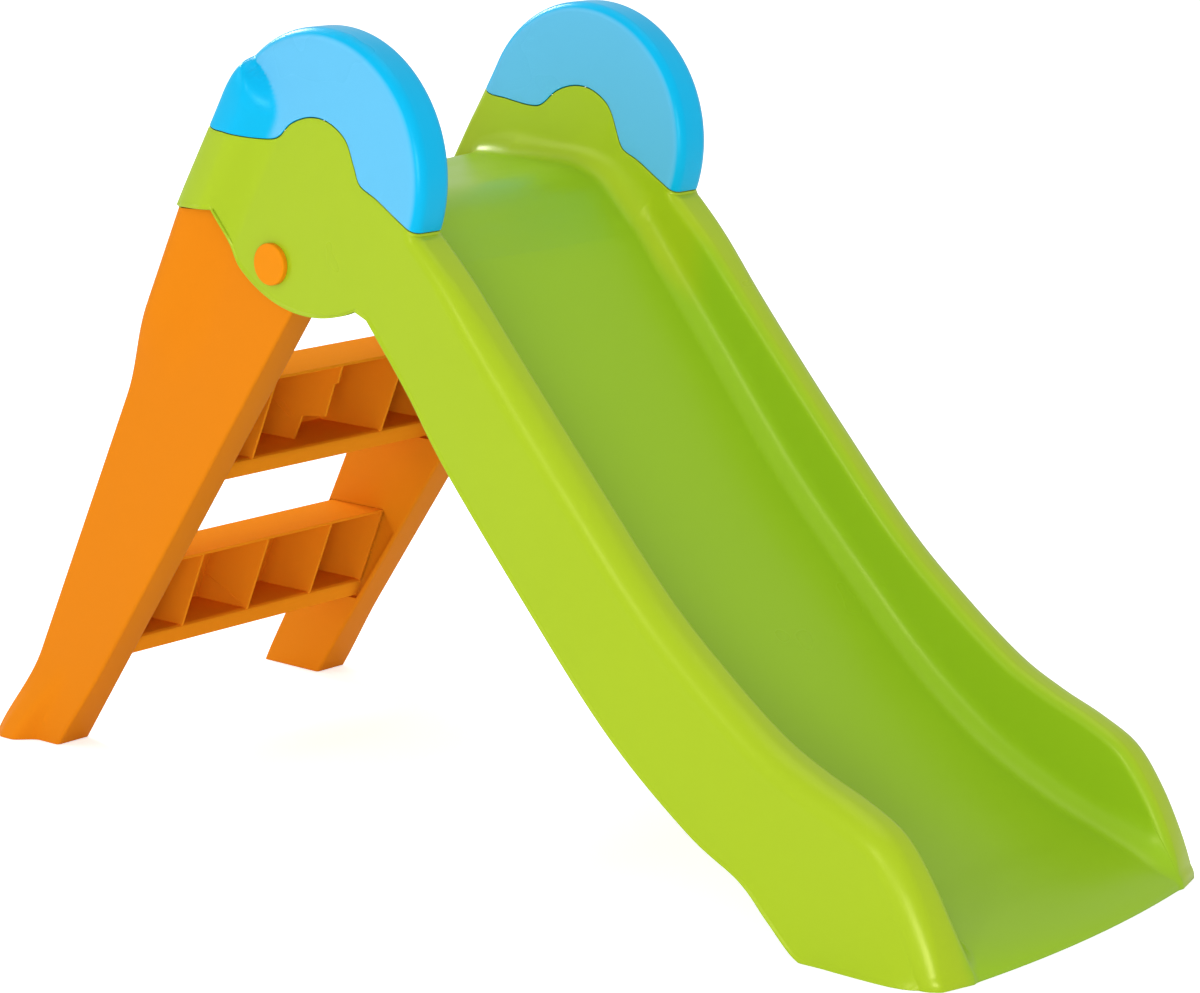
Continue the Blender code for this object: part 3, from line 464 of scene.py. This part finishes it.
def make_plastic(name, colour, roughness, gloss=0.35, sheen=(1, 1, 1), other=None, mottle=0.06, grain=0.12,
                 waves=0.6, streaks=0.0, bump=0.0006):
    """Material of one moulded plastic; other is a mask group and the colour that it lays in, used here for painted
    shade and a painted sheen.
    """
    material = bpy.data.materials.new(name)
    material.use_nodes = True
    tree = material.node_tree
    shader = tree.nodes["Principled BSDF"]
    shader.inputs["Specular Tint"].default_value = (*sheen, 1)
    skin = tree.nodes.new("ShaderNodeGroup")
    skin.node_tree = moulded_skin
    if other:
        region = tree.nodes.new("ShaderNodeGroup")
        region.node_tree = other[0]
        blend = add_node(tree, "Mix", data_type="RGBA")
        for socket, value in ((blend.inputs[6], colour), (blend.inputs[7], other[1])):
            socket.default_value = (*value, 1)
        tree.links.new(region.outputs["Mask"], blend.inputs[0])
        tree.links.new(blend.outputs[2], skin.inputs["Colour"])
    for label, value in (("Colour", (*colour, 1)), ("Mottle", mottle), ("Roughness", roughness),
                         ("Grain", grain), ("Waves", waves), ("Streaks", streaks)):
        skin.inputs[label].default_value = value
    tree.links.new(skin.outputs["Color"], shader.inputs["Base Color"])
    tree.links.new(skin.outputs["Roughness"], shader.inputs["Roughness"])
    relief = add_node(tree, "Bump", Strength=1.0, Distance=bump)
    tree.links.new(skin.outputs["Height"], relief.inputs["Height"])
    tree.links.new(relief.outputs["Normal"], shader.inputs["Normal"])
    shader.inputs["IOR"].default_value = 1.49
    shader.inputs["Specular IOR Level"].default_value = gloss
    return material


def make_painted_floor_shade():
    """Group with a mask of the chute's running surface: its floor, the inner walls and the platform, which the green
    paints darker as painted shade.
    """
    group, start, end = new_group("Painted floor shade", (), (("Mask", "Float"),))
    place = add_node(group, "SeparateXYZ")
    group.links.new(add_node(group, "TexCoord").outputs["Object"], place.inputs[0])
    edge = ramp(group, place.outputs["X"], -0.03, 0.05, 0.160, 0.182)
    inside = combine(group, "SUBTRACT", edge, combine(group, "ABSOLUTE", place.outputs["Y"]))
    group.links.new(ramp(group, inside, -0.009, 0.009), end.inputs["Mask"])
    return group


# The chute's floor, inner walls and platform are painted a darker, greener green: painted shade where these faces
# turn from the light.
green_plastic = make_plastic("Green plastic", (0.340, 0.482, 0.010), 0.30, gloss=0.5, sheen=(1, 0.95, 0.4),
                             other=(make_painted_floor_shade(), (0.268, 0.472, 0.012)))

rows = slide_rows()
sheet = ear_sheet(rows, above=False)
bmesh.ops.bisect_plane(sheet, geom=sheet.verts[:] + sheet.edges[:] + sheet.faces[:], plane_co=(0, 0, 0),
                       plane_no=(0, 0, 1), clear_inner=True)
chute = show("chute_shell", mesh_from("chute_shell", sheet), "slide", "green_plastic", green_plastic, "slide_body")
solid_wall(chute, mirrored=True)
chute_mesh = baked(chute)
for vert in chute_mesh.vertices:
    vert.co.z = max(vert.co.z, 0.0)
chute.modifiers.clear()
chute.data = chute_mesh


# Stiffeners under the slide, of one piece with the moulding. A cheek hangs from the platform at each
# pivot and carries the pin's inner end, and thin ribs cross the chute's floor.

PIVOT_X, PIVOT_Z = -0.210, 0.577
CHEEK_R, CHEEK_HALF = 0.038, 0.068
RIB_T, RIB_DEPTH = 0.003, 0.016
RIB_STATIONS = (4, 7, 8, 9, 10, 11, 12)
GAP = 0.0003


def prism(solid, outline, y_low, y_high):
    """Adds to a bmesh the solid between two planes across Y over an outline of (x, z) points."""
    sides = [[solid.verts.new((x, y, z)) for x, z in outline] for y in (y_low, y_high)]
    faces = [solid.faces.new(sides[0]), solid.faces.new(sides[1])]
    for i in range(len(outline)):
        j = (i + 1) % len(outline)
        faces.append(solid.faces.new((sides[0][i], sides[0][j], sides[1][j], sides[1][i])))
    bmesh.ops.recalc_face_normals(solid, faces=faces)


def soften(piece, width, angle=50):
    """Rounds a piece's sharp edges."""
    round_off = piece.modifiers.new("Soft edges", "BEVEL")
    round_off.width = width
    round_off.segments = 3
    round_off.limit_method = "ANGLE"
    round_off.angle_limit = math.radians(angle)


stiff = bmesh.new()
cheek_top = PLATFORM_Z + 0.2 * BED_FILLET
cheek = [(PIVOT_X - CHEEK_HALF, cheek_top)]
cheek += [tuple(p) for p in on_circle((PIVOT_X, PIVOT_Z, CHEEK_R), np.radians(np.linspace(200, 340, 41)))]
cheek += [(PIVOT_X + CHEEK_HALF, cheek_top)]
for side in (1, -1):
    prism(stiff, cheek, *sorted((side * (Y_IN - GAP), side * (Y_IN + WALL - GAP))))
floor_line = np.array(STATIONS)[:, 2:4]
for index in RIB_STATIONS:
    here, run = floor_line[index], floor_line[index + 1] - floor_line[index - 1]
    run = run / np.linalg.norm(run)
    down = np.array((-run[1], run[0])) * (-1 if run[0] > 0 else 1)
    near, far = here + down * (0.4 * WALL + BED_SAG), here + down * (0.5 * WALL + RIB_DEPTH + BED_SAG)
    half = run * RIB_T / 2
    reach = Y_IN - 0.3 * BED_FILLET
    prism(stiff, [tuple(near + half), tuple(near - half), tuple(far - half), tuple(far + half)], -reach, reach)
show("stiffeners", mesh_from("stiffeners", stiff, sharp=35), "slide", "green_plastic", green_plastic)


# Hand caps. Two blue mouldings over the tops of the ears, flush with them along a wavy seam that
# crosses both sides; children hold them. Each is pressed on and held by tongues inside the ear.

def make_painted_side_sheen():
    """Group with a mask of an ear's two flat sides, which the blue paints paler as a painted sheen."""
    group, start, end = new_group("Painted side sheen", (), (("Mask", "Float"),))
    coordinates = add_node(group, "TexCoord")
    sideways = []
    for output in ("Normal", "Object"):
        parts = add_node(group, "SeparateXYZ")
        group.links.new(coordinates.outputs[output], parts.inputs[0])
        sideways.append(combine(group, "ABSOLUTE", parts.outputs["Y"]))
    flat = ramp(group, sideways[0], 0.80, 0.98)
    swollen = ramp(group, sideways[1], 0.2262, 0.2300)
    group.links.new(combine(group, "SUBTRACT", flat, combine(group, "MULTIPLY", flat, swollen)), end.inputs["Mask"])
    return group


# The caps' flat sides are painted a paler blue: a painted sheen where they face the light.
blue_plastic = make_plastic("Blue plastic", (0.001, 0.42, 0.73), 0.28, gloss=0.25, sheen=(0.35, 0.9, 1),
                            other=(make_painted_side_sheen(), (0.112, 0.47, 0.75)))
CAP_ROWS_BACK = 2 * SPAN_ROWS + NOTCH_ROWS + ARC_ROWS + POST_ROWS

for side, name in ((1, "left"), (-1, "right")):
    sheet = ear_sheet(rows[-CAP_ROWS_BACK:], above=True)
    if side < 0:
        bmesh.ops.transform(sheet, matrix=Matrix.Diagonal((1, -1, 1, 1)), verts=sheet.verts)
        bmesh.ops.reverse_faces(sheet, faces=sheet.faces)
    cap = show(f"hand_cap_shell_{name}", mesh_from(f"hand_cap_shell_{name}", sheet), "slide", "blue_plastic",
               blue_plastic, f"hand_cap_{name}")
    solid_wall(cap, mirrored=False)


# Ladder legs. Two orange moulded beams, round at the pivot inside the ears, with the same rounded rear
# edge as the green posts above them. The foot kicks out and its outer face runs in and out. A pocket in
# each inner face takes the end of a step.

PIN_R, PIN_CLEAR, LEG_CLEAR = 0.008, 0.0004, 0.0025
LEG_OUT = HALF_WIDTH - WALL - LEG_CLEAR
LEG_IN = Y_IN + WALL + 0.3 * LEG_CLEAR
LEG_TOP = post_foot[1] - 0.5 * WALL - GAP
LEG_END_R, LEG_FRONT_LEAN, LEG_REAR_X, LEG_REAR_LEAN, LEG_HEEL_X = 0.0445, 0.70, -0.3368, 0.490, -0.650
LEG_BULGE, LEG_BULGE_W, LEG_BULGE_R, LEG_BULGE_END, LEG_EDGE_R = 0.0225, 0.095, 0.014, 0.215, 0.004
FOOT_FLARE_H, FOOT_LOBE, FOOT_LOBE_W, FOOT_REST = 0.105, 0.0185, 0.034, 0.0105
POCKET_DEPTH, POCKET_EDGE, POCKET_SHOULDER, POCKET_BELOW = 0.009, 0.0045, 0.026, 0.004
POCKET_SIDE, POCKET_TOP, POCKET_HEEL = 0.001, 0.0004, 0.0034
UPPER_TREAD, LOWER_TREAD = (-0.331, 0.428, 0.098), (-0.450, 0.2155, 0.084)
UPPER_HEIGHT, LOWER_HEIGHT, STEP_LEAN, LIP_DROP = 0.095, 0.090, 0.47, 0.020


def leg_front(z):
    """Front edge of a leg at height z; round about the pivot above its tangent point."""
    slope = math.sqrt(1 + LEG_FRONT_LEAN ** 2)
    if z <= PIVOT_Z - LEG_END_R * LEG_FRONT_LEAN / slope:
        return PIVOT_X + LEG_END_R * slope + LEG_FRONT_LEAN * (z - PIVOT_Z)
    rise = (z - PIVOT_Z) / (LEG_TOP - PIVOT_Z if z > PIVOT_Z else LEG_END_R)
    return PIVOT_X + LEG_END_R * math.sqrt(max(1 - rise * rise, 0.0))


def leg_rear(z):
    """Rear edge: straight from the post's foot down to a short kicked-out heel."""
    straight = LEG_REAR_X - LEG_REAR_LEAN * (post_foot[1] - z)
    heel = LEG_HEEL_X - (LEG_REAR_X - LEG_REAR_LEAN * post_foot[1])
    return straight + heel * (1 - smooth(z / FOOT_FLARE_H)) ** 1.2


def leg_ring(z):
    """A leg's rounded section at height z: inner side from front to rear, then along the outer face."""
    rear, front = leg_rear(z), leg_front(z)
    width = front - rear
    low = (1 - smooth(z / FOOT_FLARE_H)) ** 1.2
    fade = 1 - smooth(2 * (LEG_TOP - z) / LEG_BULGE_END - 1)
    r = min(LEG_EDGE_R, 0.2 * width)
    edge = min(LEG_EDGE_R + (LEG_BULGE_R - LEG_EDGE_R) * fade, 0.25 * width)
    reach = min(LEG_BULGE_W, width - r)
    quarter = np.radians(np.linspace(0, 90, 6))
    inner = [(front - r * (1 - math.cos(t)), LEG_IN + r * (1 - math.sin(t))) for t in quarter]
    inner += [(rear + r * (1 - math.sin(t)), LEG_IN + r * (1 - math.cos(t))) for t in quarter]
    inward = np.concatenate([edge * (1 - np.cos(np.linspace(0, math.pi / 2, 10)))[:-1],
                             edge + (reach - edge) * np.arange(23) / 22])
    swell = LEG_BULGE * fade * (1 - smooth((inward - edge) / (LEG_BULGE_W - edge)))
    round_off = edge - np.sqrt(np.maximum(edge ** 2 - np.maximum(edge - inward, 0) ** 2, 0))
    foot = (FOOT_REST * (1 - 0.3 * inward / width)
            + FOOT_LOBE * (1 - smooth((inward - FOOT_LOBE_W) / 0.026)) * (0.5 + 0.5 * smooth(inward / 0.02)))
    outer = list(zip(rear + inward, LEG_OUT + swell + low * foot - round_off))
    last = LEG_OUT + low * 0.7 * FOOT_REST - r
    outer += [(front - r * (1 - math.sin(t)), last + r * math.cos(t)) for t in quarter]
    return [(x, y, z) for x, y in inner + outer]


def pocket_outline(tread, height):
    """Outline of the pocket that takes a step's end: it follows the tray, and the leg's front edge."""
    front_x, top, depth = tread
    low = top - height
    lip = low - LIP_DROP
    upper, lower = top - POCKET_SHOULDER, lip - POCKET_BELOW
    front = [(leg_front(z) - POCKET_EDGE * 1.22, z) for z in (upper, lower)]
    rear = front_x - depth
    return [(front_x + POCKET_SIDE, top + POCKET_TOP), (rear - POCKET_SIDE, top + POCKET_TOP),
            (rear - STEP_LEAN * height - POCKET_SIDE, low - POCKET_HEEL),
            (front_x - STEP_LEAN * (height + LIP_DROP) - POCKET_BELOW, lower), front[1], front[0]]


def carve(name, mesh, cutter, sharp):
    """Takes the solid of a bmesh out of a mesh."""
    blank = bpy.data.objects.new(name, mesh)
    tool = bpy.data.objects.new(name + "_tool", mesh_from(name + "_tool", cutter))
    for thing in (blank, tool):
        bpy.context.scene.collection.objects.link(thing)
    cut = blank.modifiers.new("Cut", "BOOLEAN")
    cut.operation, cut.solver, cut.object = "DIFFERENCE", "EXACT", tool
    carved = baked(blank)
    for thing in (blank, tool):
        bpy.data.objects.remove(thing, do_unlink=True)
    carved.set_sharp_from_angle(angle=math.radians(sharp))
    return carved


orange_plastic = make_plastic("Orange plastic", (0.70, 0.207, 0.006), 0.5, gloss=0.05, sheen=(1, 0.8, 0.3))

tangent = PIVOT_Z - LEG_END_R * LEG_FRONT_LEAN / math.sqrt(1 + LEG_FRONT_LEAN ** 2)
foot_levels = FOOT_FLARE_H * np.linspace(0, 1, 29)[:-1]
beam_levels = np.linspace(FOOT_FLARE_H, tangent, 60)[:-1]
end_levels = tangent + (LEG_TOP - tangent) * np.sin(np.radians(np.linspace(0, 90, 31)))
rings = [leg_ring(z) for z in np.concatenate([foot_levels, beam_levels, end_levels])]

for side, name in ((1, "left"), (-1, "right")):
    solid = bmesh.new()
    verts = [[solid.verts.new(p) for p in ring] for ring in rings]
    for a, b in zip(verts, verts[1:]):
        for i in range(len(a)):
            j = (i + 1) % len(a)
            solid.faces.new((a[i], a[j], b[j], b[i]))
    solid.faces.new(verts[-1])
    solid.faces.new(list(reversed(verts[0])))
    bmesh.ops.remove_doubles(solid, verts=solid.verts, dist=0.00002)
    bmesh.ops.recalc_face_normals(solid, faces=solid.faces)
    cutter = bmesh.new()
    bore = on_circle((PIVOT_X, PIVOT_Z, PIN_R + PIN_CLEAR), np.radians(np.arange(0, 360, 7.5)))
    prism(cutter, [tuple(p) for p in bore], Y_IN, HALF_WIDTH + 0.03)
    for tread, height in ((UPPER_TREAD, UPPER_HEIGHT), (LOWER_TREAD, LOWER_HEIGHT)):
        prism(cutter, pocket_outline(tread, height), LEG_IN - 0.01, LEG_IN + POCKET_DEPTH)
    mesh = carve("leg", mesh_from("leg", solid), cutter, 35)
    if side < 0:
        mesh.transform(Matrix.Diagonal((1, -1, 1, 1)))
        mesh.flip_normals()
    show(f"leg_beam_{name}", mesh, "ladder", "orange_plastic", orange_plastic, f"ladder_leg_{name}")


# Steps. Two orange moulded trays between the legs, open towards the slide: a tread with a fine brushed
# grain, a riser, a floor with a lip that turns down, and three thin ribs. The upper middle rib is
# notched, and both middle ribs carry thin raised lines.

# The trays' orange is lighter than the legs', though both are the same plastic: painted light that lifts the treads
# where they lie in shade.
step_plastic_painted_light = make_plastic("Step plastic", (0.84, 0.26, 0.010), 0.6, gloss=0.004, sheen=(1, 0.8, 0.3),
                            streaks=0.55)
STEP_WALL = 0.003
STEP_HALF = LEG_IN - GAP
RIB_PITCH = 0.100
CORNER_ROUND = 0.004
RIDGE_WIDTH, RIDGE_HEIGHT = 0.0016, 0.0008
NOTCH_KNEE_IN, NOTCH_KNEE_DOWN, NOTCH_STEP = 0.0300, 0.0630, 0.0350


def rounded(points, radius, steps=5):
    """Open polyline with its inner corners rounded."""
    points = [np.array(p, float) for p in points]
    out = [points[0]]
    for a, b, c in zip(points, points[1:], points[2:]):
        to_a, to_c = (a - b) / np.linalg.norm(a - b), (c - b) / np.linalg.norm(c - b)
        half = math.acos(np.clip(to_a @ to_c, -1, 1)) / 2
        far = radius / math.tan(half)
        start, end = b + to_a * far, b + to_c * far
        for t in np.linspace(0, 1, steps):
            out.append(start * (1 - t) ** 2 + b * 2 * t * (1 - t) + end * t * t)
    return np.array(out + [points[-1]])


def ribbon(points, thickness):
    """Outline of a bent sheet of one thickness about a middle line."""
    off = left_normals(points) * thickness / 2
    return [tuple(p) for p in points + off] + [tuple(p) for p in (points - off)[::-1]]


def tray_line(tread, height):
    """Middle line of a tray's sheet: tread, riser, floor and the lip that turns down."""
    front_x, top, depth = tread
    half, low = STEP_WALL / 2, top - height
    rear = front_x - depth + half
    return rounded([(front_x, top - half), (rear, top - half), (rear - STEP_LEAN * height, low - half),
                    (front_x - STEP_LEAN * height + 0.004 - half, low - half),
                    (front_x - STEP_LEAN * (height + LIP_DROP) + 0.004 - half, low - LIP_DROP)], CORNER_ROUND)


def web(tread, height, notched=False):
    """Outline of a rib or end wall inside the tray."""
    front_x, top, depth = tread
    low, half = top - height, STEP_WALL / 2
    rear = front_x - depth
    back = [(front_x - 0.002, top - half), (rear + half, top - half), (rear - STEP_LEAN * height + half, low - half)]
    if not notched:
        return back + [(front_x - STEP_LEAN * height + 0.002, low - half)]
    knee, knee_z = front_x - NOTCH_KNEE_IN, top - NOTCH_KNEE_DOWN
    return back + [(knee - NOTCH_STEP - 0.015, low - half), (knee - NOTCH_STEP, knee_z - 0.004), (knee, knee_z),
                   (front_x - 0.0155, top - 0.0250), (front_x - 0.0105, top - 0.0235)]


def ridge(solid, start, end, y):
    """Thin raised line on the near face of a rib."""
    start, end = np.array(start), np.array(end)
    run = (end - start) / np.linalg.norm(end - start)
    off = np.array((-run[1], run[0])) * RIDGE_WIDTH / 2
    prism(solid, [tuple(start + off), tuple(end + off), tuple(end - off), tuple(start - off)], y - RIDGE_HEIGHT, y)


for name, tread, height in (("step_upper", UPPER_TREAD, UPPER_HEIGHT), ("step_lower", LOWER_TREAD, LOWER_HEIGHT)):
    solid = bmesh.new()
    ends = STEP_HALF + 0.6 * POCKET_DEPTH
    prism(solid, ribbon(tray_line(tread, height), STEP_WALL), -ends, ends)
    for y in (-RIB_PITCH, 0.0, RIB_PITCH):
        notched = y == 0.0 and name == "step_upper"
        prism(solid, web(tread, height, notched), y - STEP_WALL / 2, y + STEP_WALL / 2)
    for y in (-ends + 0.0015, ends - 0.0015):
        prism(solid, web(tread, height), y - 0.0015, y + 0.0015)
    front_x, top, depth = tread
    if name == "step_upper":
        ridge(solid, (front_x - 0.1128, top - 0.0528), (front_x - 0.0830, top - 0.0734), -STEP_WALL / 2)
        ridge(solid, (front_x - 0.0986, top - 0.0510), (front_x - 0.0789, top - 0.0685), -STEP_WALL / 2)
    else:
        ridge(solid, (front_x - 0.1100, top - 0.0580), (front_x - 0.0484, top - 0.0855), -STEP_WALL / 2)
    step = show(f"{name}_tray", mesh_from(f"{name}_tray", solid, sharp=35), "ladder", "orange_plastic",
                step_plastic_painted_light, name)
    soften(step, 0.0006)


# Pivot pins. An orange pin goes through each ear, the leg and the cheek: a flat round head outside, and
# a blind cap pushed on its inner end.

PIN_HEAD_R, PIN_HEAD_H, PIN_HEAD_ROUND = 0.0216, 0.0062, 0.0016
CLIP_R, CLIP_H = 0.0145, 0.008


def lathe(profile, steps=96):
    """Solid of revolution about Z over a profile of (radius, height), from axis to axis."""
    solid = bmesh.new()
    rings = []
    for radius, height in profile:
        if radius == 0:
            rings.append([solid.verts.new((0, 0, height))])
        else:
            rings.append([solid.verts.new((*p, height)) for p in
                          on_circle((0, 0, radius), np.arange(steps) * 2 * math.pi / steps)])
    for a, b in zip(rings, rings[1:]):
        for i in range(steps):
            j = (i + 1) % steps
            corners = [a[i % len(a)], a[j % len(a)], b[j % len(b)], b[i % len(b)]]
            solid.faces.new(list(dict.fromkeys(corners)))
    bmesh.ops.recalc_face_normals(solid, faces=solid.faces)
    return solid


pin_plastic = make_plastic("Pin plastic", (0.76, 0.24, 0.004), 0.4, gloss=0.1, sheen=(1, 0.8, 0.3))
pin_end = Y_IN - GAP - CLIP_H + 0.002 - HALF_WIDTH
turns = np.radians(np.linspace(0, 90, 8))
pin_profile = [(0.0, PIN_HEAD_H), (PIN_HEAD_R - 3 * PIN_HEAD_ROUND, PIN_HEAD_H)]
pin_profile += [(PIN_HEAD_R - PIN_HEAD_ROUND * (1 - math.sin(t)), PIN_HEAD_H - PIN_HEAD_ROUND * (1 - math.cos(t)))
                for t in turns]
pin_profile += [(PIN_HEAD_R, GAP), (PIN_R, GAP), (PIN_R, pin_end + 0.0015), (PIN_R - 0.0015, pin_end), (0.0, pin_end)]
clip_low, clip_bore = -2 * GAP - CLIP_H, PIN_R + GAP
clip_profile = [(0.0, clip_low + 0.0015), (clip_bore, clip_low + 0.0015), (clip_bore, -2 * GAP), (CLIP_R, -2 * GAP)]
clip_profile += [(CLIP_R - 0.002 * (1 - math.cos(t)), clip_low + 0.002 * (1 - math.sin(t))) for t in turns]
clip_profile += [(0.0, clip_low)]
for side, name in ((1, "left"), (-1, "right")):
    upright = Matrix.Rotation(math.radians(-90 * side), 4, "X")
    for kind, profile, y in (("pin", pin_profile, HALF_WIDTH), ("clip", clip_profile, Y_IN)):
        mesh = mesh_from(f"pivot_{kind}", lathe(profile), sharp=35)
        mesh.transform(Matrix.Translation((PIVOT_X, side * y, PIVOT_Z)) @ upright)
        show(f"turned_{kind}_{name}", mesh, "slide", "pin_plastic", pin_plastic, f"pivot_{kind}_{name}")


# Floor, light and camera. A plain white studio floor under an even white sky. The main soft lamp stands
# low beside the camera and reaches under the platform, and weaker ones stand at the side, above and behind.

def make_white(name, glow):
    """White for the floor: the camera sees it lifted to white, and it keeps the shadow."""
    material = bpy.data.materials.new(name)
    material.use_nodes = True
    tree = material.node_tree
    shader = tree.nodes["Principled BSDF"]
    shader.inputs["Base Color"].default_value = (0.9, 0.9, 0.9, 1)
    shader.inputs["Roughness"].default_value = 0.9
    shader.inputs["Specular IOR Level"].default_value = 0.1
    shader.inputs["Emission Color"].default_value = (1, 1, 1, 1)
    seen = add_node(tree, "LightPath")
    lift = combine(tree, "MULTIPLY", seen.outputs["Is Camera Ray"], glow)
    tree.links.new(lift, shader.inputs["Emission Strength"])
    return material


floor_mesh = bpy.data.meshes.new("floor")
floor_mesh.from_pydata([(-30, -30, -0.0006), (30, -30, -0.0006), (30, 30, -0.0006), (-30, 30, -0.0006)], [],
                       [(0, 1, 2, 3)])
floor = bpy.data.objects.new("floor", floor_mesh)
floor_mesh.materials.append(make_white("Floor white", 0.58))
bpy.context.scene.collection.objects.link(floor)

world = bpy.data.worlds.new("Studio")
bpy.context.scene.world = world
world.use_nodes = True
backdrop = world.node_tree.nodes["Background"]
backdrop.inputs["Color"].default_value = (1, 1, 1, 1)
seen = add_node(world.node_tree, "LightPath")
strength = combine(world.node_tree, "MULTIPLY_ADD", seen.outputs["Is Camera Ray"], 0.32, 0.68)
world.node_tree.links.new(strength, backdrop.inputs["Strength"])


def soft_light(name, place, aim, size, power):
    """Square area light turned towards a point."""
    lamp = bpy.data.lights.new(name, "AREA")
    lamp.shape = "SQUARE"
    lamp.size = size
    lamp.energy = power
    light = bpy.data.objects.new(name, lamp)
    light.location = place
    light.rotation_euler = (Vector(aim) - Vector(place)).to_track_quat("-Z", "Y").to_euler()
    bpy.context.scene.collection.objects.link(light)


soft_light("key", (-5.2, -6.0, 4.2), (0, 0, 0.35), 3.4, 85)
soft_light("side", (5.0, -5.7, 0.8), (0, 0, 0.3), 2.4, 258)
soft_light("edge", (1.4, -6.4, 3.0), (0.3, 0, 0.3), 1.0, 52)
soft_light("top", (0.6, 0.8, 7.5), (0, 0, 0.35), 5.0, 72)
soft_light("rear", (-6.5, 1.5, 4.5), (-0.3, 0, 0.4), 2.0, 250)

CAMERA_AT = (2.4114, -2.7793, 1.1585)
AZIMUTH, ELEVATION, ROLL = (math.radians(a) for a in (40.613, 12.594, 0.287))
PHOTO_WIDTH, PHOTO_HEIGHT, FOCAL_PIXELS, CENTRE_X, CENTRE_Y = 1200, 993, 3631.79, 593.97, 489.59
camera_data = bpy.data.cameras.new("photo_camera")
camera = bpy.data.objects.new("photo_camera", camera_data)
bpy.context.scene.collection.objects.link(camera)
bpy.context.scene.camera = camera
ahead = Vector((-math.sin(AZIMUTH) * math.cos(ELEVATION), math.cos(AZIMUTH) * math.cos(ELEVATION),
                -math.sin(ELEVATION)))
level = ahead.cross(Vector((0, 0, 1))).normalized()
right = level * math.cos(ROLL) + level.cross(ahead) * math.sin(ROLL)
camera.matrix_world = (Matrix.Translation(CAMERA_AT)
                       @ Matrix((right, right.cross(ahead), -ahead)).transposed().to_4x4())
camera_data.sensor_fit = "HORIZONTAL"
camera_data.sensor_width = 36
camera_data.lens = FOCAL_PIXELS / PHOTO_WIDTH * 36
camera_data.shift_x = (PHOTO_WIDTH / 2 - CENTRE_X) / PHOTO_WIDTH
camera_data.shift_y = -(PHOTO_HEIGHT / 2 - CENTRE_Y) / PHOTO_WIDTH
camera_data.clip_start, camera_data.clip_end = 0.05, 100
bpy.context.scene.view_settings.view_transform = "Standard"
